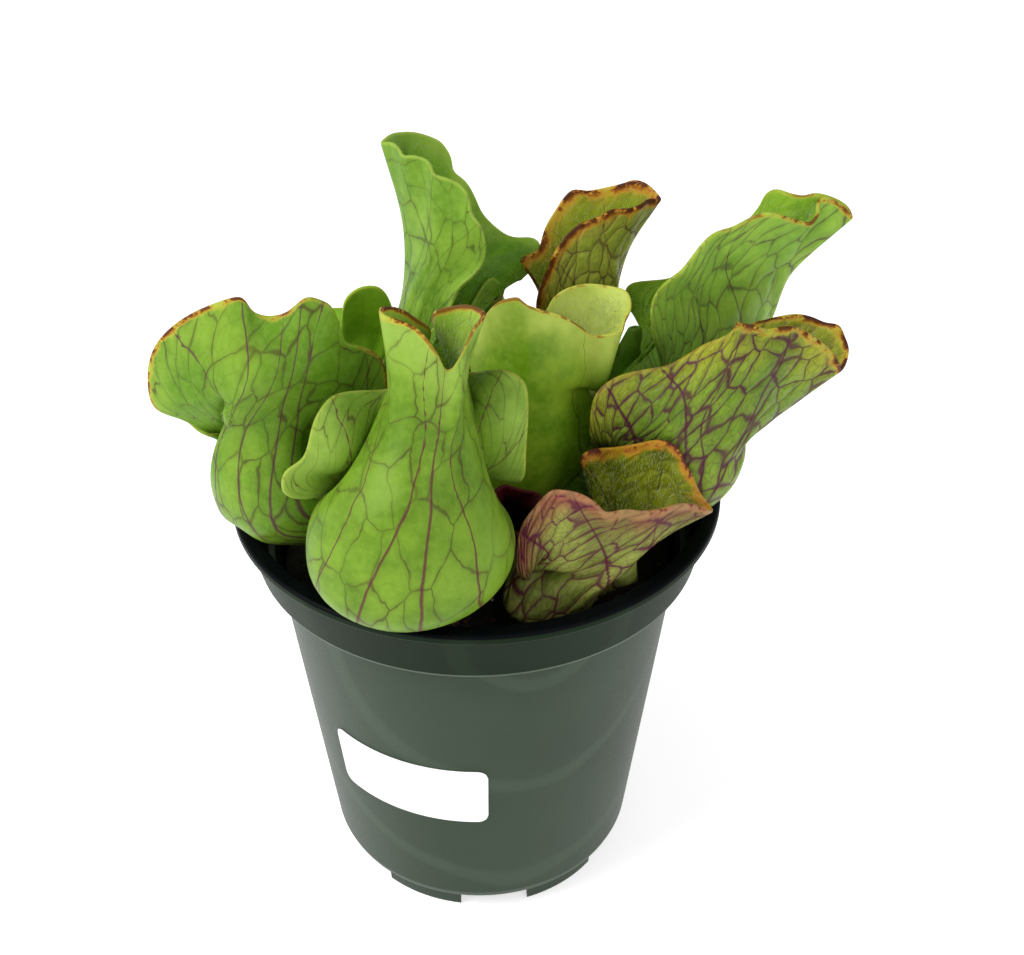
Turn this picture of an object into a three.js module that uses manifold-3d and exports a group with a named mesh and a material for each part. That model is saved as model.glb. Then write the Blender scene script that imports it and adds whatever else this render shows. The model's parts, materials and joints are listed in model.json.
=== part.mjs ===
// A potted pitcher plant: a round nursery pot with a blank label, potting mix, the rhizome that the
// leaves grow from, and eleven pitcher leaves. Millimetres, +Z up, origin under the middle of the pot.
import * as THREE from 'three';
import { mergeVertices } from 'three/addons/utils/BufferGeometryUtils.js';
import Module from 'manifold-3d';

const wasm = await Module();
wasm.setup();

// The pot: a 4.5 inch round pot with a wide collar, a rolled lip and six feet, its wall, its rim and
// its base as three solids with a hair's gap at each seam
const RIM_RADIUS = 57.15;
const POT_HEIGHT = 108.2;
const LIP_DEPTH = 2.7;
const LIP_WIDTH = 3.5;
const COLLAR_FOOT_Z = 92.9;
const COLLAR_FOOT_RADIUS = 52.7;
const BODY_TOP_RADIUS = 48.5;
const BODY_FOOT_RADIUS = 38.9;
const BODY_FOOT_Z = 8;
const FOOT_RADIUS = 35.9;
const WALL = 1.3;
const SEAM = 0.1;
const POT_SIDES = 48;
const FEET = 6;
const NOTCH_TURN = THREE.MathUtils.degToRad(-86);
const NOTCH_WIDTH = 17;
const NOTCH_HEIGHT = 4.4;
const DRAIN_WIDTH = 9;

// The blank label on the body, measured round the wall
const LABEL_WIDTH = 40;
const LABEL_LOW_Z = 37.7;
const LABEL_HIGH_Z = 56.6;
const LABEL_CORNER = 2.6;
const LABEL_MIDDLE = THREE.MathUtils.degToRad(-115);
const LABEL_THICKNESS = 0.45;

// The potting mix, and the gap kept between touching pieces
const GAP = 0.3;
const MIX_TOP_Z = 89;
const MIX_SIDES = 24;

// The rhizome: a low dome, half sunk in the mix
const RHIZOME_CENTRE = [2, 0, 84];
const RHIZOME_RADIUS = 15;
const RHIZOME_HEIGHT = 11;

// Each leaf: the wall, how finely its net of points is cut, how many rows are solid stalk, and
// the size below which facets are joined
const LEAF_WALL = 0.8;
const LEAF_TURN_STEP = 15;
const LEAF_ROWS = 12;
const STALK_ROWS = 4;
const LEAF_FINENESS = 0.15;
const CLEANING_PASSES = 4;
const LEAST_WEDGE = 0.6;

// Each pitcher leaf in turn.
// back: where the leaf's back faces, in degrees round Z from +X.
// slant: the share of its length that the tube's front is lower than its back.
// tube: x, y, z, half width and half depth of the tube, from its foot on the rhizome to its neck.
// mid: angle round the leaf from its back, then x, y, z, on a ring half way up the hood.
// rim: the same along the waved edge of the hood and mouth.
const LEAVES = {
  pitcher_front: {
    colour: 0x7db83a,
    back: -85,
    slant: 0.2,
    tube: [
      [-1.7, -10.6, 91.8, 2.3, 2.3], [-2.7, -13.5, 95.7, 2.7, 2.5], [-5, -20, 98, 4.5, 4],
      [-9, -28, 102, 9.5, 8], [-13, -33.2, 112.9, 14.8, 10.5], [-14.4, -43, 121.5, 22.5, 18],
      [-12.2, -42.7, 133, 17, 14.8], [-10.8, -40.5, 142, 11.2, 10.2],
    ],
    mid: [
      [-155, -28.5, -36, 135.5], [-135, -26.5, -37, 140], [-115, -23.5, -34, 144],
      [-96, -18, -28, 148], [-75, -15.5, -27, 156.5], [-45, -17.5, -37, 160], [-25, -12.5, -41, 160],
      [0, -6, -43, 153], [25, -2.5, -41, 156.5], [45, -1.5, -36, 160], [75, -3, -27, 156],
      [96, -3, -27, 148.5], [115, 0, -33, 149], [135, 3.5, -35, 142], [155, 5, -33, 133],
      [180, -11, -24, 132.5],
    ],
    rim: [
      [-172, -28.5, -27, 127], [-164, -33, -36, 129], [-156, -39, -41, 133], [-148, -39, -41, 138.5],
      [-138, -35, -39, 141.5], [-128, -33, -37, 148.5], [-118, -29.5, -34, 152],
      [-108, -25, -31, 151.5], [-96, -16, -24, 148.5], [-84, -9.5, -22, 159.5],
      [-74, -11.5, -25, 164], [-64, -15, -29, 169], [-54, -18.5, -33, 171.5],
      [-47, -18.5, -36, 171.5], [-35, -12.5, -38, 170], [-18, -8, -40, 165.5], [0, -5.5, -40, 161],
      [18, -2.5, -39, 165], [35, 0, -37, 169], [47, 2, -35, 171], [56, -1, -30, 170],
      [66, -5, -26, 167.5], [74, -8, -24, 165.5], [84, -7.5, -22, 160.5], [96, -3, -24, 151.5],
      [108, 4, -30, 155.5], [120, 9, -33, 154.5], [132, 10, -35, 149], [144, 9.5, -35, 139],
      [155, 9, -33, 130], [166, 5, -27, 127], [180, -11, -20, 132.5],
    ],
  },
  pitcher_left: {
    colour: 0x7fae3e,
    back: -70,
    slant: 0.4,
    tube: [
      [-8.4, -4.2, 91.8, 2.3, 2.3], [-11.3, -5.4, 95.7, 2.7, 2.5], [-18, -7.5, 98, 4.5, 4],
      [-26.5, -10.5, 102, 8.5, 7.5], [-34, -13, 112.4, 11.5, 10.7], [-43, -16, 120.5, 16, 14],
      [-44, -16, 131, 14, 12], [-42, -16, 139, 10, 9],
    ],
    mid: [
      [-150, -51, -15, 135], [-125, -52, -25, 144.5], [-100, -52, -26, 149], [-75, -49, -27, 152.5],
      [-50, -43.5, -28, 155], [-25, -37.5, -27, 154.5], [0, -32, -26, 154], [25, -27, -23, 148.5],
      [50, -25, -19, 142], [80, -25.5, -15, 134.5], [115, -29.5, -10, 125], [150, -35.5, -4, 124],
      [180, -41.5, 0, 125.5],
    ],
    rim: [
      [-156, -53, -12, 132.5], [-144, -56, -20, 135], [-130, -62, -20, 138.5], [-118, -68, -19, 141],
      [-106, -68.5, -19, 148], [-94, -66, -20, 156], [-82, -60, -21, 162.5], [-70, -52, -22, 167],
      [-58, -46, -22, 168], [-52, -45, -22, 165.5], [-44, -42.5, -22, 164], [-34, -38.5, -22, 164.5],
      [-22, -34, -22, 168], [-12, -30.5, -22, 167], [0, -28.5, -22, 165], [10, -27.5, -22, 162],
      [22, -26.5, -22, 157.5], [36, -23, -20, 155], [50, -20, -18, 151.5], [68, -19, -16, 144],
      [90, -19.5, -13, 138], [115, -23, -8, 130], [140, -30, -3, 126], [160, -36, 2, 125.5],
      [180, -40.5, 4, 127],
    ],
  },
  pitcher_back_left_tall: {
    colour: 0x7aa844,
    back: 135,
    slant: 0.3,
    tube: [
      [-4.1, 9.4, 91.8, 2.3, 2.3], [-5.8, 12, 95.7, 2.7, 2.5], [-9.5, 16.5, 99.5, 4.5, 4],
      [-12, 21.5, 106, 8, 7.5], [-13.3, 24, 115, 9.8, 9.3], [-13.5, 24, 126, 9, 8.7],
      [-12.5, 20.5, 138, 6.3, 6.4],
    ],
    mid: [
      [-150, -1, 25, 142.5], [-120, 2, 30, 147.5], [-90, -1.5, 32, 152], [-60, -5.5, 32, 156],
      [-30, -11, 29, 160], [0, -16, 22, 165.5], [30, -12, 16, 166], [55, -9, 12, 164.5],
      [80, -7.5, 11, 162], [110, -8, 11, 155], [140, -10.5, 13, 146.5], [180, -8, 20, 137],
    ],
    rim: [
      [-170, -1, 23, 140.5], [-158, 4, 27, 146.5], [-146, 7.5, 30, 143.5], [-136, 11.5, 32, 144.5],
      [-126, 16, 34, 148.5], [-118, 15.5, 36, 152], [-108, 10.5, 37, 152], [-96, 6, 37, 154.5],
      [-86, 2, 37, 159], [-78, 0.5, 37, 163], [-70, -1.5, 37, 167], [-62, -4.5, 36, 170],
      [-54, -5, 36, 174], [-46, -6.5, 36, 176.5], [-36, -9, 34, 179], [-26, -13, 31, 181.5],
      [-16, -17, 28, 182.5], [-8, -18.5, 25, 183], [0, -20, 22, 182.5], [7, -17.5, 20, 183.5],
      [12, -16, 18, 183], [18, -15, 17, 181.5], [26, -13, 16, 182], [34, -10, 15, 181.5],
      [40, -9, 14, 180.5], [46, -8.5, 13, 179], [54, -6, 12, 178.5], [64, -3, 11, 177.5],
      [74, -1, 10, 175], [82, -0.5, 9, 171.5], [92, 1.5, 8, 169], [104, 2.5, 8, 164],
      [116, 1.5, 8, 159.5], [128, -2.5, 8, 155.5], [140, -5, 9, 151], [152, -7.5, 10, 145.5],
      [166, -10, 14, 139], [180, -5.5, 20, 136],
    ],
  },
  pitcher_back_red: {
    colour: 0x8a8a46,
    back: 50,
    slant: 0.3,
    tube: [
      [9.5, 8.4, 91.8, 2.3, 2.3], [11.6, 10.6, 95.7, 2.7, 2.5], [15.8, 17, 99, 4.3, 4],
      [20.5, 24.5, 105, 7.5, 7], [24.7, 29.5, 114, 9.1, 8.4], [27.5, 30.5, 124, 8.2, 7.8],
      [29.5, 28.5, 134, 6, 6],
    ],
    mid: [
      [-150, 21.5, 23, 138], [-120, 20.5, 20, 143], [-90, 23.5, 20, 148.5], [-60, 28.5, 21, 153.5],
      [-30, 34, 25, 155], [0, 38, 30, 154.5], [30, 35, 34, 153.5], [60, 29.5, 35, 152.5],
      [90, 24.5, 34, 148.5], [120, 21.5, 32, 143.5], [150, 22.5, 30, 139], [180, 24.5, 28, 135],
    ],
    rim: [
      [-160, 18.5, 23, 135.5], [-140, 15.5, 19, 140.5], [-124, 15, 18, 145], [-112, 16, 17, 150],
      [-100, 17.5, 17, 154], [-90, 18.5, 17, 157], [-80, 20, 18, 159], [-70, 22, 19, 161.5],
      [-60, 25, 20, 163.5], [-48, 29, 22, 164], [-36, 32.5, 24, 165], [-26, 36, 25, 164.5],
      [-18, 39, 26, 165], [-10, 41, 28, 165.5], [0, 44, 30, 164.5], [8, 43.5, 32, 165],
      [16, 41.5, 34, 166.5], [26, 38.5, 36, 167], [36, 35, 37, 165.5], [46, 30.5, 38, 164],
      [54, 27.5, 38, 163.5], [62, 24.5, 38, 164], [70, 22.5, 38, 162.5], [80, 20, 37, 159],
      [90, 18, 36, 156], [100, 17, 35, 153.5], [110, 16, 34, 150.5], [120, 13, 33, 149.5],
      [130, 11.5, 32, 148.5], [140, 13.5, 31, 145.5], [152, 16, 30, 142.5], [166, 19, 29, 137],
      [180, 22, 28, 133.5],
    ],
  },
  pitcher_right_tall: {
    colour: 0x78a63e,
    back: 25,
    slant: 0.42,
    tube: [
      [12.9, 2.9, 91.8, 2.3, 2.3], [15.8, 3.7, 95.7, 2.7, 2.5], [22, 6.3, 97.5, 4.5, 4.2],
      [30.5, 9.5, 101, 8.5, 7.5], [37, 13, 111.6, 11.5, 9], [47.3, 16, 119.3, 13.4, 12],
      [54.8, 18, 128.8, 11.2, 9.1], [62.2, 17.6, 135, 8.6, 7.5],
    ],
    mid: [
      [-150, 52.5, 7, 139], [-120, 51, 6, 146.5], [-90, 53.5, 5, 154.5], [-60, 60, 6, 158.5],
      [-30, 68, 9, 159], [0, 74, 14, 155.5], [30, 71, 19, 155], [60, 66, 24, 151.5],
      [90, 55, 27, 144.5], [120, 47, 28, 137.5], [150, 54.5, 22, 133.5], [180, 58, 14, 132.5],
    ],
    rim: [
      [-160, 45, 9, 130], [-146, 42, 6, 137.5], [-136, 40.5, 4, 143], [-126, 39.5, 2.5, 149.5],
      [-116, 40, 1.5, 154.5], [-106, 42, 0, 158.5], [-96, 45.5, 0, 161.5], [-86, 48.5, 1, 165.5],
      [-76, 52, 3, 168.5], [-66, 56.5, 4, 169.5], [-56, 61, 6, 171], [-48, 64.5, 7, 171.5],
      [-40, 68, 8, 170], [-32, 72, 10, 168], [-25, 75.5, 11, 167], [-21, 77, 12, 169],
      [-17, 76.5, 13, 170.5], [-13, 77.5, 13.5, 172.5], [-9, 81, 14, 170.5], [-5, 83.5, 14, 168.5],
      [0, 85, 14, 166], [5, 84.5, 17, 168], [9, 82, 18, 169.5], [13, 78.5, 19, 170.5],
      [22, 75.5, 22, 168.5], [32, 72.5, 25, 168], [40, 70.5, 27, 168], [48, 68.5, 28, 167],
      [56, 67.5, 29, 163.5], [66, 65, 30, 159], [80, 60, 31, 152.5], [94, 54.5, 32, 147],
      [106, 48, 33, 142.5], [116, 43, 33, 142], [126, 38.5, 32, 142], [134, 37, 31, 140.5],
      [142, 38.5, 30, 136.5], [150, 42.5, 28, 134], [164, 46, 22, 131], [180, 51, 14, 127],
    ],
  },
  pitcher_right_netted: {
    colour: 0x6f8a3c,
    back: -5,
    slant: 0.3,
    tube: [
      [12.9, -2.7, 91.8, 2.3, 2.3], [15.9, -3.5, 95.7, 2.7, 2.5], [22.5, -6, 98, 4.5, 4.2],
      [32, -8.5, 102, 8.7, 8], [40, -10.2, 111.3, 11.3, 10.3], [47.6, -10.2, 121, 12.1, 12.9],
      [52, -11.5, 129.5, 11, 10.6],
    ],
    mid: [
      [-150, 35, -20, 134], [-120, 42.5, -20, 140], [-90, 50, -18, 143.5], [-60, 58, -15, 145],
      [-30, 66.5, -10, 140.5], [0, 73.5, -4, 130.5], [30, 69.5, 4, 133.5], [60, 64, 3.5, 135.5],
      [90, 57, 1.5, 134.5], [120, 50, -0.5, 130.5], [150, 42, -4, 123.5], [180, 34.5, -12, 123.5],
    ],
    rim: [
      [-170, 25.5, -13, 127], [-162, 25, -15, 132], [-154, 25.5, -15, 138], [-146, 27.5, -14, 141],
      [-138, 31, -13, 143], [-128, 36.5, -12, 144], [-118, 41.5, -12, 145], [-108, 45.5, -12, 147.5],
      [-98, 49, -12, 150], [-90, 52.5, -12, 151.5], [-82, 55, -12, 153.5], [-76, 55.5, -12, 155],
      [-68, 58, -11, 154], [-60, 60.5, -10, 153], [-52, 63, -9, 151.5], [-44, 66, -8, 151.5],
      [-36, 69, -7, 151], [-28, 72.5, -6, 149], [-20, 76, -5, 146], [-12, 79.5, -4, 142.5],
      [-6, 81.5, -3, 139], [0, 82.5, -2, 136.5], [6, 84, 0, 138], [12, 84.5, 2, 140],
      [20, 83.5, 3.5, 142.5], [28, 82.5, 5, 144.5], [38, 79.5, 6.5, 144.5], [48, 76.5, 7.5, 145.5],
      [60, 73, 8, 146], [72, 69.5, 8, 145.5], [84, 66, 8, 144.5], [96, 62.5, 7.5, 144],
      [110, 56.5, 4, 142], [126, 48.5, 2, 137.5], [142, 42, 1, 132.5], [160, 34.5, 0, 122.5],
      [180, 28, -8, 120.5],
    ],
  },
  pitcher_centre: {
    colour: 0x6fae1c,
    back: -37,
    slant: 0.3,
    tube: [
      [4, 1, 95.6, 2.3, 2.3], [5, 1, 99, 4.6, 4.2], [8, 0, 106, 10, 8.5], [11, -1, 115, 13.3, 11],
      [12.5, -1, 126, 14.5, 12], [13, 0, 136, 14.5, 12],
    ],
    mid: [
      [-140, 1, 6, 134.5], [-105, -0.5, -4, 141.5], [-70, 9.5, -13, 145.5], [-35, 19.5, -12, 143],
      [0, 25, -8, 138], [35, 27, -3, 139], [70, 26.5, 5, 137], [105, 23.5, 10, 134],
      [140, 17.5, 12, 131.5], [180, 13, 11, 131],
    ],
    rim: [
      [-160, 8, 12, 136], [-140, 2.5, 9, 138], [-122, 0, 4, 143.5], [-108, 0, -2, 148.5],
      [-96, 1.5, -6, 153.5], [-84, 4, -9, 158.5], [-72, 7, -11, 161], [-62, 9.5, -12, 161.5],
      [-56, 11, -12, 160], [-48, 13.5, -12, 159], [-36, 16.5, -11, 157.5], [-24, 20, -10, 155.5],
      [-12, 23.5, -8, 152], [0, 26, -6, 149], [12, 30, -3, 148.5], [24, 33, 1, 148.5],
      [36, 35, 4, 150], [48, 35, 7, 151.5], [60, 33.5, 9, 152.5], [72, 29.5, 11, 152.5],
      [86, 26, 12, 152.5], [100, 22.5, 12, 152], [114, 19.5, 12, 150.5], [128, 17.5, 12, 148],
      [145, 16.5, 13, 142], [163, 15, 13, 139], [180, 14, 13, 138],
    ],
  },
  pitcher_front_red: {
    colour: 0x8c6b4a,
    back: -45,
    slant: 0.3,
    tube: [
      [7.8, -9.6, 91.8, 2.3, 2.3], [9.4, -12.3, 95.7, 2.7, 2.5], [12, -18, 98, 4.8, 4.4],
      [15.5, -25, 100.5, 10, 8], [19, -31, 105.5, 13.5, 11.5], [22.5, -33, 111, 10, 9],
    ],
    mid: [
      [-150, 15.5, -38, 110], [-120, 14.5, -42, 117.5], [-90, 19, -43, 120.5], [-60, 26, -42, 119.5],
      [-30, 34, -38, 117.5], [0, 39.5, -33, 114], [30, 40, -27.5, 116.5], [60, 38.5, -24.5, 118.5],
      [90, 34.5, -22.5, 117], [120, 30, -21, 113.5], [150, 26, -23, 108], [180, 19, -28, 103.5],
    ],
    rim: [
      [-164, 14.5, -33, 104.5], [-154, 9.5, -37, 105.5], [-144, 7.5, -38, 109.5],
      [-132, 8, -39, 115], [-120, 9, -39, 122.5], [-108, 11.5, -39, 127], [-98, 14.5, -39, 131],
      [-88, 17, -40, 132], [-76, 21, -40, 131], [-66, 24.5, -40, 128.5], [-58, 26.5, -40, 126],
      [-50, 30, -39, 126], [-38, 35, -37, 124], [-26, 39.5, -34, 122.5], [-16, 43.5, -31, 121.5],
      [-8, 47.5, -28, 119], [0, 51.5, -26, 115.5], [8, 50.5, -23, 115.5], [18, 48, -23, 119.5],
      [30, 46.5, -23, 123.5], [42, 44.5, -22.5, 127.5], [54, 42.5, -22, 131], [66, 39, -21.5, 132],
      [80, 35, -20.5, 130.5], [94, 30, -19.5, 129], [108, 26, -17, 127], [120, 23, -18, 126],
      [134, 25, -18, 121], [150, 27, -20, 115.5], [165, 24, -22, 109], [180, 18, -24, 102],
    ],
  },
  pitcher_back_left_low: {
    colour: 0x4f8a1e,
    back: 165,
    slant: 0.25,
    tube: [
      [-8.2, 4.8, 91.8, 2.3, 2.3], [-11, 6, 95.7, 2.7, 2.5], [-17.5, 8.5, 98, 4.5, 4.2],
      [-26, 12, 102.5, 7.5, 7.2], [-34.5, 15.5, 110.5, 9.8, 9.5], [-38.7, 17.5, 119.5, 8.8, 8.4],
    ],
    mid: [
      [-135, -26, 28, 126], [-90, -32, 34, 125.5], [-45, -40.5, 36, 123.5], [0, -45, 28, 121],
      [45, -34.5, 19, 129], [90, -26.5, 17, 135], [135, -22.5, 18, 132], [180, -25, 21, 126],
    ],
    rim: [
      [-150, -23, 28, 129], [-120, -23, 36, 130], [-90, -28, 42, 130.5], [-60, -36, 44, 130],
      [-35, -43.5, 44, 128], [-15, -49.5, 40, 128.5], [0, -54, 34, 127.5], [15, -45.5, 28, 132],
      [35, -36.5, 22, 135.5], [55, -31, 16, 140], [65, -30, 13, 146], [78, -28, 13, 150],
      [92, -24.5, 14, 151.5], [106, -21, 15, 150.5], [122, -19, 17, 145.5], [140, -18.5, 18, 138.5],
      [160, -21, 19, 132.5], [180, -25, 21, 129],
    ],
  },
  pitcher_young: {
    colour: 0x5a2420,
    back: -80,
    slant: 0.2,
    tube: [
      [2.2, -6.4, 94.9, 2.1, 2.1], [2.6, -9, 98.6, 2.4, 2.4], [3, -12.5, 102, 3.2, 3.2],
      [4, -15.8, 105.2, 4, 3.8], [5.6, -18.4, 108.6, 4.8, 4.6],
    ],
    mid: [
      [-120, 5, -18, 113.5], [-60, 4.5, -24, 111.5], [0, 8, -24, 109.5], [60, 12, -22, 110],
      [120, 13, -19, 113.5], [180, 9.5, -17, 114.5],
    ],
    rim: [
      [-135, 5.5, -17, 118], [-105, 3.5, -19, 117.5], [-70, 3, -24, 116.5], [-35, 5, -27, 111.5],
      [0, 8.5, -24, 108], [35, 11.5, -23, 109.5], [70, 13.5, -21.5, 112], [105, 14.5, -19, 114.5],
      [135, 13.5, -17, 115.5], [180, 9.5, -16.5, 116.5],
    ],
  },
  pitcher_back_low: {
    colour: 0x44701c,
    back: 100,
    slant: 0.3,
    tube: [
      [3.4, 11.2, 91.8, 2.3, 2.3], [3.7, 14.2, 95.7, 2.7, 2.5], [4.5, 20, 99, 4.5, 4.2],
      [4.6, 26.5, 104, 7.4, 7.2], [4.4, 32, 111, 9.4, 9.5], [4.5, 36, 121, 9.2, 9],
      [4, 37, 131, 8, 7.5],
    ],
    mid: [
      [-120, 6.5, 34, 137.5], [-60, 6.5, 42, 137.5], [0, 2, 47, 137.5], [60, -2.5, 42, 137.5],
      [120, -2, 34, 137.5], [180, 2, 31, 136],
    ],
    rim: [
      [-145, 6.5, 31, 139], [-110, 8, 35, 141], [-80, 8, 40, 143], [-50, 7, 46, 145],
      [-25, 5, 51, 145], [0, 2, 54, 146], [25, -2.5, 51, 146.5], [50, -5, 46, 145],
      [80, -6, 40, 143.5], [110, -5, 35, 141], [145, -2, 31, 139], [180, 2, 30, 138.5],
    ],
  },
};

// Slopes of a smooth curve through the values, weighted for uneven steps
function slopesOf(knots, values) {
  const last = values.length - 1;
  const step = (i) => knots[i + 1] - knots[i];
  const rise = (i, c) => (values[i + 1][c] - values[i][c]) / step(i);
  return values.map((value, i) => value.map((_, c) => {
    if (i === 0) return rise(0, c);
    if (i === last) return rise(last - 1, c);
    return (rise(i - 1, c) * step(i) + rise(i, c) * step(i - 1)) / (step(i - 1) + step(i));
  }));
}

// The point of that curve at one place along its knots
function curveAt(knots, values, slopes, at) {
  let i = 0;
  while (i < knots.length - 2 && at >= knots[i + 1]) i += 1;
  const width = knots[i + 1] - knots[i];
  const t = (at - knots[i]) / width;
  const startWeight = 2 * t ** 3 - 3 * t ** 2 + 1;
  const startSlope = (t ** 3 - 2 * t ** 2 + t) * width;
  const endSlope = (t ** 3 - t ** 2) * width;
  return values[i].map((value, c) => startWeight * value + startSlope * slopes[i][c]
    + (1 - startWeight) * values[i + 1][c] + endSlope * slopes[i + 1][c]);
}

// A closed ring through rows of angle, x, y, z; it returns the point at any angle
function closedRing(rows) {
  const sorted = [...rows].sort((a, b) => a[0] - b[0]);
  const knots = [-360, 0, 360].flatMap((turn) => sorted.map((row) => row[0] + turn));
  const values = [-360, 0, 360].flatMap(() => sorted.map((row) => row.slice(1)));
  const slopes = slopesOf(knots, values);
  return (angle) => curveAt(knots, values, slopes, angle);
}

const distance = (a, b) => Math.hypot(a[0] - b[0], a[1] - b[1], a[2] - b[2]);

// The oval rings of a tube, with angle 0 at the leaf's back. Each is square to the spine at its back
// and slips down the tube towards its front, so that the neck is cut aslant.
function tubeRings({ tube, back, slant }) {
  const centres = tube.map((row) => row.slice(0, 3));
  const knots = [0];
  for (let i = 1; i < centres.length; i += 1) {
    knots.push(knots[i - 1] + distance(centres[i], centres[i - 1]));
  }
  const whole = knots[knots.length - 1];
  const turn = THREE.MathUtils.degToRad(back);
  const out = new THREE.Vector3(Math.cos(turn), Math.sin(turn), 0);
  const frames = slopesOf(knots, centres).map((slope) => {
    const along = new THREE.Vector3(...slope).normalize();
    const deep = out.clone().addScaledVector(along, -out.dot(along)).normalize();
    return { deep, side: along.clone().cross(deep) };
  });
  return knots.map((knot) => (angle) => {
    const a = THREE.MathUtils.degToRad(angle);
    const values = tube.map(([x, y, z, halfWidth, halfDepth], i) => new THREE.Vector3(x, y, z)
      .addScaledVector(frames[i].side, halfWidth * Math.sin(a))
      .addScaledVector(frames[i].deep, halfDepth * Math.cos(a)).toArray());
    const slip = slant * (knot / whole) * (1 - Math.cos(a)) / 2;
    return curveAt(knots, values, slopesOf(knots, values), knot * (1 - slip));
  });
}

// The ring half way up the hood; at the front it lies midway between the neck and the rim
function hoodRing({ mid }, neck, rim) {
  const drawn = closedRing(mid);
  return (angle) => {
    const front = THREE.MathUtils.smoothstep(Math.abs(angle), 115, 160);
    const [low, high] = [neck(angle), rim(angle)];
    return drawn(angle).map((value, c) => THREE.MathUtils.lerp(value, (low[c] + high[c]) / 2, front));
  };
}

// The outer face of a leaf: a net of points, row by row from its foot to its rim
function leafNet(leaf) {
  const tube = tubeRings(leaf);
  const rim = closedRing(leaf.rim);
  const rings = [...tube, hoodRing(leaf, tube[tube.length - 1], rim), rim];
  const columns = [];
  for (let angle = -180; angle < 180; angle += LEAF_TURN_STEP) {
    columns.push(rings.map((ring) => ring(angle)));
  }
  const knots = [0];
  for (let i = 1; i < rings.length; i += 1) {
    const steps = columns.map((column) => distance(column[i], column[i - 1]));
    knots.push(knots[i - 1] + steps.reduce((sum, step) => sum + step, 0) / steps.length);
  }
  const whole = knots[knots.length - 1];
  return Array.from({ length: LEAF_ROWS }, (_, i) => columns.map((column) => new THREE.Vector3(
    ...curveAt(knots, column, slopesOf(knots, column), whole * i / (LEAF_ROWS - 1)))));
}

// The same net moved in by the wall's thickness
function innerNet(net) {
  return net.map((row, i) => row.map((point, j) => {
    const round = row[(j + 1) % row.length].clone().sub(row[(j + row.length - 1) % row.length]);
    const up = net[Math.min(i + 1, net.length - 1)][j].clone().sub(net[Math.max(i - 1, 0)][j]);
    return point.clone().addScaledVector(round.cross(up).normalize(), -LEAF_WALL);
  }));
}

// A closed solid from rings of points, with a point at each end
function ringSolid(rings, firstPoint, lastPoint) {
  const count = rings[0].length;
  const points = [firstPoint, ...rings.flat(), lastPoint];
  const triangles = [];
  for (let j = 0; j < count; j += 1) {
    const k = (j + 1) % count;
    triangles.push(0, 1 + k, 1 + j);
    for (let i = 0; i < rings.length - 1; i += 1) {
      const low = 1 + i * count;
      const high = low + count;
      triangles.push(low + j, low + k, high + k, low + j, high + k, high + j);
    }
    const top = 1 + (rings.length - 1) * count;
    triangles.push(top + j, top + k, points.length - 1);
  }
  const geometry = new THREE.BufferGeometry();
  geometry.setAttribute('position', new THREE.Float32BufferAttribute(
    points.flatMap((point) => point.toArray()), 3));
  geometry.setIndex(triangles);
  return geometry;
}

function middleOf(ring) {
  const middle = new THREE.Vector3();
  ring.forEach((point) => middle.add(point));
  return middle.divideScalar(ring.length);
}

// Between a geometry and a solid that can be cut and joined
function toSolid(geometry) {
  const bare = geometry.clone();
  bare.deleteAttribute('normal');
  bare.deleteAttribute('uv');
  const merged = mergeVertices(bare.index ? bare : mergeVertices(bare), 1e-4);
  const index = [];
  for (let i = 0; i < merged.index.count; i += 3) {
    const corners = [0, 1, 2].map((k) => merged.index.getX(i + k));
    if (new Set(corners).size === 3) index.push(...corners);
  }
  return new wasm.Manifold(new wasm.Mesh({
    numProp: 3,
    vertProperties: new Float32Array(merged.attributes.position.array),
    triVerts: new Uint32Array(index),
  }));
}

function toGeometry(solid) {
  const mesh = solid.getMesh();
  const geometry = new THREE.BufferGeometry();
  geometry.setAttribute('position', new THREE.BufferAttribute(mesh.vertProperties, 3));
  geometry.setIndex(new THREE.BufferAttribute(mesh.triVerts, 1));
  return geometry;
}

// A wedge of a leaf's wall under one triangle of its net; the sides' diagonals follow the corners'
// places in the net, so that neighbours share their sides. Where a tight fold squeezes a wedge or
// turns it inside out, one that goes straight in from its own triangle fills its place.
function wallWedge(outer, inner, places) {
  const triangles = [0, 1, 2, 5, 4, 3];
  for (let k = 0; k < 3; k += 1) {
    const m = (k + 1) % 3;
    if (places[k] < places[m]) triangles.push(k, k + 3, m + 3, k, m + 3, m);
    else triangles.push(m, k, k + 3, m, k + 3, m + 3);
  }
  const build = (under) => new wasm.Manifold(new wasm.Mesh({
    numProp: 3,
    vertProperties: new Float32Array([...outer, ...under].flatMap((point) => point.toArray())),
    triVerts: new Uint32Array(triangles),
  }));
  const triangle = new THREE.Triangle(...outer);
  const normal = triangle.getNormal(new THREE.Vector3());
  const sunk = outer.map((point) => point.clone().addScaledVector(normal, -LEAF_WALL));
  const wedge = build(inner);
  if (wedge.volume() > LEAST_WEDGE * LEAF_WALL * triangle.getArea()) return [wedge];
  return wedge.volume() > 0 ? [wedge, build(sunk)] : [build(sunk)];
}

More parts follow.
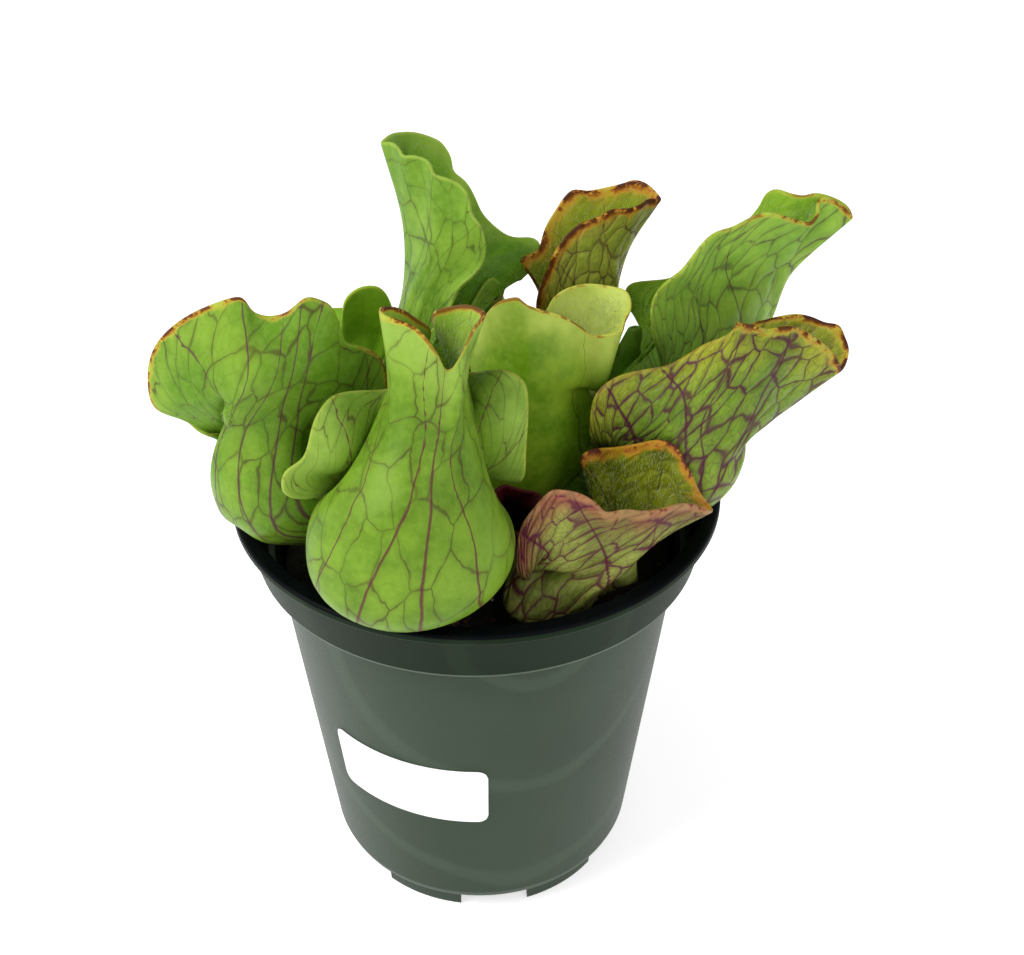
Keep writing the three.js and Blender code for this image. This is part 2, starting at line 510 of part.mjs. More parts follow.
// One leaf: a solid stalk, and above it a thin wall joined from its wedges, so that where two folds
// of the wall meet they make one body; the passes fill any pocket left between the folds
function leafGeometry(leaf) {
  const net = leafNet(leaf);
  const inside = innerNet(net);
  const count = net[0].length;
  const stalk = net.slice(0, STALK_ROWS);
  const pieces = [toSolid(ringSolid(stalk, middleOf(stalk[0]), middleOf(stalk[STALK_ROWS - 1])))];
  for (let i = STALK_ROWS - 2; i < LEAF_ROWS - 1; i += 1) {
    for (let j = 0; j < count; j += 1) {
      const k = (j + 1) % count;
      [[[i, j], [i, k], [i + 1, k]], [[i, j], [i + 1, k], [i + 1, j]]].forEach((corners) => {
        pieces.push(...wallWedge(corners.map(([row, column]) => net[row][column]),
          corners.map(([row, column]) => inside[row][column]),
          corners.map(([row, column]) => row * count + column)));
      });
    }
  }
  let bodies = [wasm.Manifold.union(pieces)];
  for (let pass = 0; pass < CLEANING_PASSES; pass += 1) {
    bodies = toSolid(toGeometry(bodies[0].simplify(LEAF_FINENESS))).decompose();
    bodies.sort((a, b) => b.volume() - a.volume());
  }
  return toGeometry(bodies[0]);
}

// A profile of radius and height turned about Z
function turned(profile, sides) {
  const points = profile.map(([radius, height]) => new THREE.Vector2(radius, height));
  return new THREE.LatheGeometry(points, sides).rotateX(Math.PI / 2);
}

// The radius of the body's outer face at a height
function bodyRadius(z) {
  const share = (z - BODY_FOOT_Z) / (COLLAR_FOOT_Z - BODY_FOOT_Z);
  return THREE.MathUtils.lerp(BODY_FOOT_RADIUS, BODY_TOP_RADIUS, share);
}

// The plain cone of the wall; its seams with the base and the rim lie at the body's foot and top
function wallGeometry() {
  const topZ = COLLAR_FOOT_Z - SEAM;
  const topRadius = bodyRadius(topZ);
  const profile = [
    [BODY_FOOT_RADIUS - WALL, BODY_FOOT_Z], [BODY_FOOT_RADIUS, BODY_FOOT_Z], [topRadius, topZ],
    [topRadius - WALL, topZ], [BODY_FOOT_RADIUS - WALL, BODY_FOOT_Z],
  ];
  return toGeometry(toSolid(turned(profile, POT_SIDES)));
}

// The rim: a narrow shelf out from the wall, the flaring collar and the lip
function rimGeometry() {
  const lipZ = POT_HEIGHT - LIP_DEPTH;
  const shelf = [BODY_TOP_RADIUS - WALL, COLLAR_FOOT_Z];
  const outside = [
    [COLLAR_FOOT_RADIUS - 0.4, COLLAR_FOOT_Z], [COLLAR_FOOT_RADIUS, COLLAR_FOOT_Z + 0.6],
    [RIM_RADIUS - 1.7, lipZ - 0.3], [RIM_RADIUS - 0.5, lipZ], [RIM_RADIUS, lipZ + 0.6],
    [RIM_RADIUS, POT_HEIGHT - 0.5], [RIM_RADIUS - 0.5, POT_HEIGHT],
  ];
  const inside = [
    [RIM_RADIUS - LIP_WIDTH, POT_HEIGHT], [RIM_RADIUS - LIP_WIDTH - 0.4, POT_HEIGHT - 0.6],
    [COLLAR_FOOT_RADIUS - WALL, COLLAR_FOOT_Z + WALL], [BODY_TOP_RADIUS - WALL, COLLAR_FOOT_Z + WALL],
  ];
  return toGeometry(toSolid(turned([shelf, ...outside, ...inside, shelf], POT_SIDES)));
}

// The base: a raised floor inside a foot ring, with a notch in the ring and a drain for each foot
function baseGeometry() {
  const seamZ = BODY_FOOT_Z - SEAM;
  const outside = [
    [0, 0], [20, 0], [21.5, 3.2], [33.6, 4.2], [33.9, 0], [FOOT_RADIUS, 0], [36.2, 4.6], [38, 5.8],
    [BODY_FOOT_RADIUS - 0.05, seamZ],
  ];
  const inside = [[BODY_FOOT_RADIUS - WALL - 0.05, seamZ], [36.4, 6.4], [22.5, 5.2], [19.6, 1.6], [0, 1.6]];
  let base = toSolid(turned([...outside, ...inside], POT_SIDES));
  for (let i = 0; i < FEET; i += 1) {
    const turn = NOTCH_TURN + i * 2 * Math.PI / FEET;
    const notch = new THREE.BoxGeometry(12, NOTCH_WIDTH, 2 * NOTCH_HEIGHT)
      .translate(FOOT_RADIUS + 2.2, 0, 0).rotateZ(turn);
    const drain = new THREE.BoxGeometry(6, DRAIN_WIDTH, 8).translate(FOOT_RADIUS - 7, 0, 6).rotateZ(turn);
    base = base.subtract(toSolid(notch)).subtract(toSolid(drain));
  }
  return toGeometry(base);
}

// The lumpy top of the mix, a little lower at the wall
function mixHeight(x, y) {
  const lumps = 0.7 * Math.sin(0.31 * x + 1) * Math.cos(0.27 * y) + 0.4 * Math.sin(0.53 * x - 0.41 * y + 2);
  return MIX_TOP_Z + lumps - 1.2 * (Math.hypot(x, y) / BODY_TOP_RADIUS) ** 4;
}

function rhizomeGeometry(extra) {
  const geometry = new THREE.SphereGeometry(1, 18, 10).rotateX(Math.PI / 2);
  const position = geometry.attributes.position;
  for (let i = 0; i < position.count; i += 1) {
    const point = new THREE.Vector3().fromBufferAttribute(position, i);
    const turn = Math.atan2(point.y, point.x);
    const knob = 1 - 0.05 * (1 - point.z) * (1 + Math.sin(5 * turn + 3 * point.z));
    position.setXYZ(i, point.x * (RHIZOME_RADIUS * knob + extra), point.y * (RHIZOME_RADIUS * knob + extra),
      point.z * (RHIZOME_HEIGHT + extra));
  }
  return geometry.translate(...RHIZOME_CENTRE);
}

function mixGeometry() {
  const topRadius = bodyRadius(MIX_TOP_Z) - WALL - GAP - 0.1;
  const wall = [
    [19.2, 1.9], [22.2, 5.5], [36.1, 6.8], [BODY_FOOT_RADIUS - WALL - GAP - 0.1, BODY_FOOT_Z + 0.4],
  ];
  const ringAt = (radius, heightAt) => Array.from({ length: MIX_SIDES }, (_, i) => {
    const turn = Math.PI / 2 - i * 2 * Math.PI / MIX_SIDES;
    const [x, y] = [radius * Math.cos(turn), radius * Math.sin(turn)];
    return new THREE.Vector3(x, y, heightAt(x, y));
  }).reverse();
  const rings = wall.map(([radius, height]) => ringAt(radius, () => height));
  [1, 0.86, 0.7, 0.54, 0.36, 0.18].forEach((share) => rings.push(ringAt(topRadius * share, mixHeight)));
  const top = new THREE.Vector3(0, 0, mixHeight(0, 0));
  const solid = toSolid(ringSolid(rings, new THREE.Vector3(0, 0, 1.9), top));
  return toGeometry(solid.subtract(toSolid(rhizomeGeometry(GAP + 0.1))));
}

// The label is laid on the pot's flat facets, so its gap to them stays even
function facetRadius(z, turn) {
  const half = Math.PI / POT_SIDES;
  const across = ((turn % (2 * half)) + 2 * half) % (2 * half) - half;
  return bodyRadius(z) * Math.cos(half) / Math.cos(across);
}

function labelGeometry() {
  const middleZ = (LABEL_LOW_Z + LABEL_HIGH_Z) / 2;
  const halfTurn = LABEL_WIDTH / 2 / bodyRadius(middleZ);
  const columns = 32;
  const layers = [GAP + 0.05, GAP + LABEL_THICKNESS].map((off) => {
    const points = [];
    for (let i = 0; i <= columns; i += 1) {
      const across = (2 * i / columns - 1) * LABEL_WIDTH / 2;
      const intoCorner = Math.max(Math.abs(across) - (LABEL_WIDTH / 2 - LABEL_CORNER), 0);
      const cut = LABEL_CORNER - Math.sqrt(Math.max(LABEL_CORNER ** 2 - intoCorner ** 2, 0)) * 0.98;
      const turn = LABEL_MIDDLE + halfTurn * across / (LABEL_WIDTH / 2);
      [LABEL_LOW_Z + cut, LABEL_HIGH_Z - cut].forEach((z) => {
        const radius = facetRadius(z, turn) + off;
        points.push(new THREE.Vector3(radius * Math.cos(turn), radius * Math.sin(turn), z));
      });
    }
    return points;
  });
  const count = layers[0].length;
  const triangles = [];
  const quad = (a, b, c, d) => triangles.push(a, b, c, a, c, d);
  for (let i = 0; i < columns; i += 1) {
    const [low, high, nextLow, nextHigh] = [2 * i, 2 * i + 1, 2 * i + 2, 2 * i + 3];
    quad(low, high, nextHigh, nextLow);
    quad(count + low, count + nextLow, count + nextHigh, count + high);
    quad(low, nextLow, count + nextLow, count + low);
    quad(high, count + high, count + nextHigh, nextHigh);
  }
  quad(0, count, count + 1, 1);
  quad(count - 2, count - 1, 2 * count - 1, 2 * count - 2);
  const geometry = new THREE.BufferGeometry();
  geometry.setAttribute('position', new THREE.Float32BufferAttribute(
    layers.flat().flatMap((point) => point.toArray()), 3));
  geometry.setIndex(triangles);
  return geometry;
}

const finish = (color, roughness) => new THREE.MeshStandardMaterial({ color, roughness, metalness: 0 });
const plant = new THREE.Group();

function add(name, geometry, material) {
  const mesh = new THREE.Mesh(geometry, material);
  mesh.name = name;
  plant.add(mesh);
}

add('pot_wall', wallGeometry(), finish(0x3f5444, 0.6));
add('pot_rim', rimGeometry(), finish(0x34463a, 0.6));
add('pot_base', baseGeometry(), finish(0x3f5444, 0.6));
add('label', labelGeometry(), finish(0xf4f5f3, 0.5));
add('potting_mix', mixGeometry(), finish(0x1d1712, 0.95));
add('rhizome', rhizomeGeometry(0), finish(0x5a3d28, 0.8));
Object.entries(LEAVES).forEach(([name, leaf]) => {
  add(name, leafGeometry(leaf), finish(leaf.colour, 0.45));
});

export default plant;
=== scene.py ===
"""A potted pitcher plant: the looks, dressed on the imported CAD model. Metres, +Z up.

The leaves' rows of points are the CAD source's own, in millimetres, and are drawn finer here.
"""
import json
import math

import bmesh
import bpy
import numpy as np
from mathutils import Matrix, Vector


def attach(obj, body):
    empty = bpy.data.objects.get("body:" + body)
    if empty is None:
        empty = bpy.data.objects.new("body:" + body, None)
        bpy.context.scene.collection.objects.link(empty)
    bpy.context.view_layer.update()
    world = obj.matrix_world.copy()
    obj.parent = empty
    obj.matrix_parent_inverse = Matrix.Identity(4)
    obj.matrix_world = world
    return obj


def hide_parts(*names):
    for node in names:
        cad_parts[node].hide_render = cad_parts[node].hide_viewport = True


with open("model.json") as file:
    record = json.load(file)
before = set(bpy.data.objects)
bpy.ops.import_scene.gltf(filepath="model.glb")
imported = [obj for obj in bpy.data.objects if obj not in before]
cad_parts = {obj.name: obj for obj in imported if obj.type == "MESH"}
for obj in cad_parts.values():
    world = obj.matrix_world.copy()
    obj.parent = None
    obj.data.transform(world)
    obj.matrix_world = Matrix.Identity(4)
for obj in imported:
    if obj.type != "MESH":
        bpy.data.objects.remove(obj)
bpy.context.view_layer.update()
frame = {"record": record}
MM = 0.001

# The camera, at the photo's viewing angle
CAMERA_PLACE = (-2.39 * MM, -291.14 * MM, 309.16 * MM)
CAMERA_PITCH = math.radians(34.584)
CAMERA_PAN = math.radians(2.097)
CAMERA_LENS = 52.73

# The pot, as in the CAD source, in millimetres
RIM_RADIUS = 57.15
POT_HEIGHT = 108.2
COLLAR_FOOT_Z = 92.9
BODY_TOP_RADIUS = 48.5
BODY_FOOT_RADIUS = 38.9
BODY_FOOT_Z = 8.0
WALL = 1.3
FLOOR_Z = 1.6

# Where the pot's bands begin: a lighter band at the crease, which is a painted highlight; the collar,
# darkened with painted shade; and the lip, darker still with painted shade that runs on over the whole
# inside
CREASE_HIGHLIGHT_FROM_Z = 92.7
COLLAR_FROM_Z = 95.0
LIP_FROM_Z = 106.6

# The notches and drains, as a box's two corners on the +X side, turned round to each foot
FEET = 6
NOTCH_TURN = math.radians(-86)
NOTCH_BOX = ((32.1, -8.5, -4.4), (44.1, 8.5, 4.4))
DRAIN_BOX = ((25.9, -4.5, 2.0), (31.9, 4.5, 10.0))
POT_SIDES = 192

# The label, as in the CAD source, and how far its two faces are off the wall
LABEL_WIDTH = 40.0
LABEL_LOW_Z = 37.7
LABEL_HIGH_Z = 56.6
LABEL_CORNER = 2.6
LABEL_MIDDLE = math.radians(-115)
LABEL_FACES = (0.08, 0.22)

# The potting mix and the rhizome, as in the CAD source
MIX_TOP_Z = 89.0
MIX_GAP = 0.4
MIX_FOOT = ((19.2, 1.9), (22.2, 5.5), (36.1, 6.8), (BODY_FOOT_RADIUS - WALL - MIX_GAP, 8.4))
CRUMBS_OFF_WALL = 2.4
RHIZOME_CENTRE = np.array((2.0, 0.0, 84.0))
RHIZOME_RADIUS = 15
RHIZOME_HALF_HEIGHT = 11

# The leaves: wall, the share of the length that is a solid stalk, and how finely the nets are drawn,
# as points round and rows up
LEAF_WALL = 0.8
STALK_SHARE = 0.24
BIG_NET = (208, 84)
SMALL_NET = (120, 48)
SMALL_LEAVES = ("pitcher_back_left_low", "pitcher_young", "pitcher_back_low")

# The hairs in the throats, drawn a little thicker than real ones so that they show
HAIR_LENGTH = 0.85 * MM
HAIR_WIDTH = 0.028 * MM
HAIRS_PER_SQUARE_METRE = 3000000.0
DENSE_HAIRS_PER_SQUARE_METRE = 5000000.0
HAIRY_FROM_SHARE = 0.6


def stalk(*places):
    """The two lowest rings of a leaf's stalk, which are alike but for their places."""
    return [(x, y, *ring) for (x, y), ring in zip(places, ((91.8, 2.3, 2.3), (95.7, 2.7, 2.5)))]


# Each leaf: where its back faces in degrees, how far its tube's front hangs lower than its back,
# the tube's middle, half width and half depth, and the rings half way up the hood and on the rim,
# each row an angle round the leaf and a place.
PITCHERS = {
    "pitcher_front": dict(
        back=-85, slant=0.2,
        tube=stalk((-1.7, -10.6), (-2.7, -13.5)) + [
            (-5, -20, 98, 4.5, 4), (-9, -28, 102, 9.5, 8), (-13, -33.2, 112.9, 14.8, 10.5),
            (-14.4, -43, 121.5, 22.5, 18), (-12.2, -42.7, 133, 17, 14.8), (-10.8, -40.5, 142, 11.2, 10.2),
        ],
        mid=[
            (-155, -28.5, -36, 135.5), (-135, -26.5, -37, 140), (-115, -23.5, -34, 144),
            (-96, -18, -28, 148), (-75, -15.5, -27, 156.5), (-45, -17.5, -37, 160), (-25, -12.5, -41, 160),
            (0, -6, -43, 153), (25, -2.5, -41, 156.5), (45, -1.5, -36, 160), (75, -3, -27, 156),
            (96, -3, -27, 148.5), (115, 0, -33, 149), (135, 3.5, -35, 142), (155, 5, -33, 133),
            (180, -11, -24, 132.5),
        ],
        rim=[
            (-172, -28.5, -27, 127), (-164, -33, -36, 129), (-156, -39, -41, 133), (-148, -39, -41, 138.5),
            (-138, -35, -39, 141.5), (-128, -33, -37, 148.5), (-118, -29.5, -34, 152),
            (-108, -25, -31, 151.5), (-96, -16, -24, 148.5), (-84, -9.5, -22, 159.5),
            (-74, -11.5, -25, 164), (-64, -15, -29, 169), (-54, -18.5, -33, 171.5),
            (-47, -18.5, -36, 171.5), (-35, -12.5, -38, 170), (-18, -8, -40, 165.5), (0, -5.5, -40, 161),
            (18, -2.5, -39, 165), (35, 0, -37, 169), (47, 2, -35, 171), (56, -1, -30, 170),
            (66, -5, -26, 167.5), (74, -8, -24, 165.5), (84, -7.5, -22, 160.5), (96, -3, -24, 151.5),
            (108, 4, -30, 155.5), (120, 9, -33, 154.5), (132, 10, -35, 149), (144, 9.5, -35, 139),
            (155, 9, -33, 130), (166, 5, -27, 127), (180, -11, -20, 132.5),
        ],
    ),
    "pitcher_left": dict(
        back=-70, slant=0.4,
        tube=stalk((-8.4, -4.2), (-11.3, -5.4)) + [
            (-18, -7.5, 98, 4.5, 4), (-26.5, -10.5, 102, 8.5, 7.5), (-34, -13, 112.4, 11.5, 10.7),
            (-43, -16, 120.5, 16, 14), (-44, -16, 131, 14, 12), (-42, -16, 139, 10, 9),
        ],
        mid=[
            (-150, -51, -15, 135), (-125, -52, -25, 144.5), (-100, -52, -26, 149), (-75, -49, -27, 152.5),
            (-50, -43.5, -28, 155), (-25, -37.5, -27, 154.5), (0, -32, -26, 154), (25, -27, -23, 148.5),
            (50, -25, -19, 142), (80, -25.5, -15, 134.5), (115, -29.5, -10, 125), (150, -35.5, -4, 124),
            (180, -41.5, 0, 125.5),
        ],
        rim=[
            (-156, -53, -12, 132.5), (-144, -56, -20, 135), (-130, -62, -20, 138.5), (-118, -68, -19, 141),
            (-106, -68.5, -19, 148), (-94, -66, -20, 156), (-82, -60, -21, 162.5), (-70, -52, -22, 167),
            (-58, -46, -22, 168), (-52, -45, -22, 165.5), (-44, -42.5, -22, 164), (-34, -38.5, -22, 164.5),
            (-22, -34, -22, 168), (-12, -30.5, -22, 167), (0, -28.5, -22, 165), (10, -27.5, -22, 162),
            (22, -26.5, -22, 157.5), (36, -23, -20, 155), (50, -20, -18, 151.5), (68, -19, -16, 144),
            (90, -19.5, -13, 138), (115, -23, -8, 130), (140, -30, -3, 126), (160, -36, 2, 125.5),
            (180, -40.5, 4, 127),
        ],
    ),
    "pitcher_back_left_tall": dict(
        back=135, slant=0.3,
        tube=stalk((-4.1, 9.4), (-5.8, 12)) + [
            (-9.5, 16.5, 99.5, 4.5, 4), (-12, 21.5, 106, 8, 7.5), (-13.3, 24, 115, 9.8, 9.3),
            (-13.5, 24, 126, 9, 8.7), (-12.5, 20.5, 138, 6.3, 6.4),
        ],
        mid=[
            (-150, -1, 25, 142.5), (-120, 2, 30, 147.5), (-90, -1.5, 32, 152), (-60, -5.5, 32, 156),
            (-30, -11, 29, 160), (0, -16, 22, 165.5), (30, -12, 16, 166), (55, -9, 12, 164.5),
            (80, -7.5, 11, 162), (110, -8, 11, 155), (140, -10.5, 13, 146.5), (180, -8, 20, 137),
        ],
        rim=[
            (-170, -1, 23, 140.5), (-158, 4, 27, 146.5), (-146, 7.5, 30, 143.5), (-136, 11.5, 32, 144.5),
            (-126, 16, 34, 148.5), (-118, 15.5, 36, 152), (-108, 10.5, 37, 152), (-96, 6, 37, 154.5),
            (-86, 2, 37, 159), (-78, 0.5, 37, 163), (-70, -1.5, 37, 167), (-62, -4.5, 36, 170),
            (-54, -5, 36, 174), (-46, -6.5, 36, 176.5), (-36, -9, 34, 179), (-26, -13, 31, 181.5),
            (-16, -17, 28, 182.5), (-8, -18.5, 25, 183), (0, -20, 22, 182.5), (7, -17.5, 20, 183.5),
            (12, -16, 18, 183), (18, -15, 17, 181.5), (26, -13, 16, 182), (34, -10, 15, 181.5),
            (40, -9, 14, 180.5), (46, -8.5, 13, 179), (54, -6, 12, 178.5), (64, -3, 11, 177.5),
            (74, -1, 10, 175), (82, -0.5, 9, 171.5), (92, 1.5, 8, 169), (104, 2.5, 8, 164),
            (116, 1.5, 8, 159.5), (128, -2.5, 8, 155.5), (140, -5, 9, 151), (152, -7.5, 10, 145.5),
            (166, -10, 14, 139), (180, -5.5, 20, 136),
        ],
    ),
    "pitcher_back_red": dict(
        back=50, slant=0.3,
        tube=stalk((9.5, 8.4), (11.6, 10.6)) + [
            (15.8, 17, 99, 4.3, 4), (20.5, 24.5, 105, 7.5, 7), (24.7, 29.5, 114, 9.1, 8.4),
            (27.5, 30.5, 124, 8.2, 7.8), (29.5, 28.5, 134, 6, 6),
        ],
        mid=[
            (-150, 21.5, 23, 138), (-120, 20.5, 20, 143), (-90, 23.5, 20, 148.5), (-60, 28.5, 21, 153.5),
            (-30, 34, 25, 155), (0, 38, 30, 154.5), (30, 35, 34, 153.5), (60, 29.5, 35, 152.5),
            (90, 24.5, 34, 148.5), (120, 21.5, 32, 143.5), (150, 22.5, 30, 139), (180, 24.5, 28, 135),
        ],
        rim=[
            (-160, 18.5, 23, 135.5), (-140, 15.5, 19, 140.5), (-124, 15, 18, 145), (-112, 16, 17, 150),
            (-100, 17.5, 17, 154), (-90, 18.5, 17, 157), (-80, 20, 18, 159), (-70, 22, 19, 161.5),
            (-60, 25, 20, 163.5), (-48, 29, 22, 164), (-36, 32.5, 24, 165), (-26, 36, 25, 164.5),
            (-18, 39, 26, 165), (-10, 41, 28, 165.5), (0, 44, 30, 164.5), (8, 43.5, 32, 165),
            (16, 41.5, 34, 166.5), (26, 38.5, 36, 167), (36, 35, 37, 165.5), (46, 30.5, 38, 164),
            (54, 27.5, 38, 163.5), (62, 24.5, 38, 164), (70, 22.5, 38, 162.5), (80, 20, 37, 159),
            (90, 18, 36, 156), (100, 17, 35, 153.5), (110, 16, 34, 150.5), (120, 13, 33, 149.5),
            (130, 11.5, 32, 148.5), (140, 13.5, 31, 145.5), (152, 16, 30, 142.5), (166, 19, 29, 137),
            (180, 22, 28, 133.5),
        ],
    ),
    "pitcher_right_tall": dict(
        back=25, slant=0.42,
        tube=stalk((12.9, 2.9), (15.8, 3.7)) + [
            (22, 6.3, 97.5, 4.5, 4.2), (30.5, 9.5, 101, 8.5, 7.5), (37, 13, 111.6, 11.5, 9),
            (47.3, 16, 119.3, 13.4, 12), (54.8, 18, 128.8, 11.2, 9.1), (62.2, 17.6, 135, 8.6, 7.5),
        ],
        mid=[
            (-150, 52.5, 7, 139), (-120, 51, 6, 146.5), (-90, 53.5, 5, 154.5), (-60, 60, 6, 158.5),
            (-30, 68, 9, 159), (0, 74, 14, 155.5), (30, 71, 19, 155), (60, 66, 24, 151.5),
            (90, 55, 27, 144.5), (120, 47, 28, 137.5), (150, 54.5, 22, 133.5), (180, 58, 14, 132.5),
        ],
        rim=[
            (-160, 45, 9, 130), (-146, 42, 6, 137.5), (-136, 40.5, 4, 143), (-126, 39.5, 2.5, 149.5),
            (-116, 40, 1.5, 154.5), (-106, 42, 0, 158.5), (-96, 45.5, 0, 161.5), (-86, 48.5, 1, 165.5),
            (-76, 52, 3, 168.5), (-66, 56.5, 4, 169.5), (-56, 61, 6, 171), (-48, 64.5, 7, 171.5),
            (-40, 68, 8, 170), (-32, 72, 10, 168), (-25, 75.5, 11, 167), (-21, 77, 12, 169),
            (-17, 76.5, 13, 170.5), (-13, 77.5, 13.5, 172.5), (-9, 81, 14, 170.5), (-5, 83.5, 14, 168.5),
            (0, 85, 14, 166), (5, 84.5, 17, 168), (9, 82, 18, 169.5), (13, 78.5, 19, 170.5),
            (22, 75.5, 22, 168.5), (32, 72.5, 25, 168), (40, 70.5, 27, 168), (48, 68.5, 28, 167),
            (56, 67.5, 29, 163.5), (66, 65, 30, 159), (80, 60, 31, 152.5), (94, 54.5, 32, 147),
            (106, 48, 33, 142.5), (116, 43, 33, 142), (126, 38.5, 32, 142), (134, 37, 31, 140.5),
            (142, 38.5, 30, 136.5), (150, 42.5, 28, 134), (164, 46, 22, 131), (180, 51, 14, 127),
        ],
    ),
    "pitcher_right_netted": dict(
        back=-5, slant=0.3,
        tube=stalk((12.9, -2.7), (15.9, -3.5)) + [
            (22.5, -6, 98, 4.5, 4.2), (32, -8.5, 102, 8.7, 8), (40, -10.2, 111.3, 11.3, 10.3),
            (47.6, -10.2, 121, 12.1, 12.9), (52, -11.5, 129.5, 11, 10.6),
        ],
        mid=[
            (-150, 35, -20, 134), (-120, 42.5, -20, 140), (-90, 50, -18, 143.5), (-60, 58, -15, 145),
            (-30, 66.5, -10, 140.5), (0, 73.5, -4, 130.5), (30, 69.5, 4, 133.5), (60, 64, 3.5, 135.5),
            (90, 57, 1.5, 134.5), (120, 50, -0.5, 130.5), (150, 42, -4, 123.5), (180, 34.5, -12, 123.5),
        ],
        rim=[
            (-170, 25.5, -13, 127), (-162, 25, -15, 132), (-154, 25.5, -15, 138), (-146, 27.5, -14, 141),
            (-138, 31, -13, 143), (-128, 36.5, -12, 144), (-118, 41.5, -12, 145), (-108, 45.5, -12, 147.5),
            (-98, 49, -12, 150), (-90, 52.5, -12, 151.5), (-82, 55, -12, 153.5), (-76, 55.5, -12, 155),
            (-68, 58, -11, 154), (-60, 60.5, -10, 153), (-52, 63, -9, 151.5), (-44, 66, -8, 151.5),
            (-36, 69, -7, 151), (-28, 72.5, -6, 149), (-20, 76, -5, 146), (-12, 79.5, -4, 142.5),
            (-6, 81.5, -3, 139), (0, 82.5, -2, 136.5), (6, 84, 0, 138), (12, 84.5, 2, 140),
            (20, 83.5, 3.5, 142.5), (28, 82.5, 5, 144.5), (38, 79.5, 6.5, 144.5), (48, 76.5, 7.5, 145.5),
            (60, 73, 8, 146), (72, 69.5, 8, 145.5), (84, 66, 8, 144.5), (96, 62.5, 7.5, 144),
            (110, 56.5, 4, 142), (126, 48.5, 2, 137.5), (142, 42, 1, 132.5), (160, 34.5, 0, 122.5),
            (180, 28, -8, 120.5),
        ],
    ),
    "pitcher_centre": dict(
        back=-37, slant=0.3,
        tube=[
            (4, 1, 95.6, 2.3, 2.3), (5, 1, 99, 4.6, 4.2), (8, 0, 106, 10, 8.5), (11, -1, 115, 13.3, 11),
            (12.5, -1, 126, 14.5, 12), (13, 0, 136, 14.5, 12),
        ],
        mid=[
            (-140, 1, 6, 134.5), (-105, -0.5, -4, 141.5), (-70, 9.5, -13, 145.5), (-35, 19.5, -12, 143),
            (0, 25, -8, 138), (35, 27, -3, 139), (70, 26.5, 5, 137), (105, 23.5, 10, 134),
            (140, 17.5, 12, 131.5), (180, 13, 11, 131),
        ],
        rim=[
            (-160, 8, 12, 136), (-140, 2.5, 9, 138), (-122, 0, 4, 143.5), (-108, 0, -2, 148.5),
            (-96, 1.5, -6, 153.5), (-84, 4, -9, 158.5), (-72, 7, -11, 161), (-62, 9.5, -12, 161.5),
            (-56, 11, -12, 160), (-48, 13.5, -12, 159), (-36, 16.5, -11, 157.5), (-24, 20, -10, 155.5),
            (-12, 23.5, -8, 152), (0, 26, -6, 149), (12, 30, -3, 148.5), (24, 33, 1, 148.5),
            (36, 35, 4, 150), (48, 35, 7, 151.5), (60, 33.5, 9, 152.5), (72, 29.5, 11, 152.5),
            (86, 26, 12, 152.5), (100, 22.5, 12, 152), (114, 19.5, 12, 150.5), (128, 17.5, 12, 148),
            (145, 16.5, 13, 142), (163, 15, 13, 139), (180, 14, 13, 138),
        ],
    ),
    "pitcher_front_red": dict(
        back=-45, slant=0.3,
        tube=stalk((7.8, -9.6), (9.4, -12.3)) + [
            (12, -18, 98, 4.8, 4.4), (15.5, -25, 100.5, 10, 8), (19, -31, 105.5, 13.5, 11.5),
            (22.5, -33, 111, 10, 9),
        ],
        mid=[
            (-150, 15.5, -38, 110), (-120, 14.5, -42, 117.5), (-90, 19, -43, 120.5), (-60, 26, -42, 119.5),
            (-30, 34, -38, 117.5), (0, 39.5, -33, 114), (30, 40, -27.5, 116.5), (60, 38.5, -24.5, 118.5),
            (90, 34.5, -22.5, 117), (120, 30, -21, 113.5), (150, 26, -23, 108), (180, 19, -28, 103.5),
        ],
        rim=[
            (-164, 14.5, -33, 104.5), (-154, 9.5, -37, 105.5), (-144, 7.5, -38, 109.5), (-132, 8, -39, 115),
            (-120, 9, -39, 122.5), (-108, 11.5, -39, 127), (-98, 14.5, -39, 131), (-88, 17, -40, 132),
            (-76, 21, -40, 131), (-66, 24.5, -40, 128.5), (-58, 26.5, -40, 126), (-50, 30, -39, 126),
            (-38, 35, -37, 124), (-26, 39.5, -34, 122.5), (-16, 43.5, -31, 121.5), (-8, 47.5, -28, 119),
            (0, 51.5, -26, 115.5), (8, 50.5, -23, 115.5), (18, 48, -23, 119.5), (30, 46.5, -23, 123.5),
            (42, 44.5, -22.5, 127.5), (54, 42.5, -22, 131), (66, 39, -21.5, 132), (80, 35, -20.5, 130.5),
            (94, 30, -19.5, 129), (108, 26, -17, 127), (120, 23, -18, 126), (134, 25, -18, 121),
            (150, 27, -20, 115.5), (165, 24, -22, 109), (180, 18, -24, 102),
        ],
    ),
    "pitcher_back_left_low": dict(
        back=165, slant=0.25,
        tube=stalk((-8.2, 4.8), (-11, 6)) + [
            (-17.5, 8.5, 98, 4.5, 4.2), (-26, 12, 102.5, 7.5, 7.2), (-34.5, 15.5, 110.5, 9.8, 9.5),
            (-38.7, 17.5, 119.5, 8.8, 8.4),
        ],
        mid=[
            (-135, -26, 28, 126), (-90, -32, 34, 125.5), (-45, -40.5, 36, 123.5), (0, -45, 28, 121),
            (45, -34.5, 19, 129), (90, -26.5, 17, 135), (135, -22.5, 18, 132), (180, -25, 21, 126),
        ],
        rim=[
            (-150, -23, 28, 129), (-120, -23, 36, 130), (-90, -28, 42, 130.5), (-60, -36, 44, 130),
            (-35, -43.5, 44, 128), (-15, -49.5, 40, 128.5), (0, -54, 34, 127.5), (15, -45.5, 28, 132),
            (35, -36.5, 22, 135.5), (55, -31, 16, 140), (65, -30, 13, 146), (78, -28, 13, 150),
            (92, -24.5, 14, 151.5), (106, -21, 15, 150.5), (122, -19, 17, 145.5), (140, -18.5, 18, 138.5),
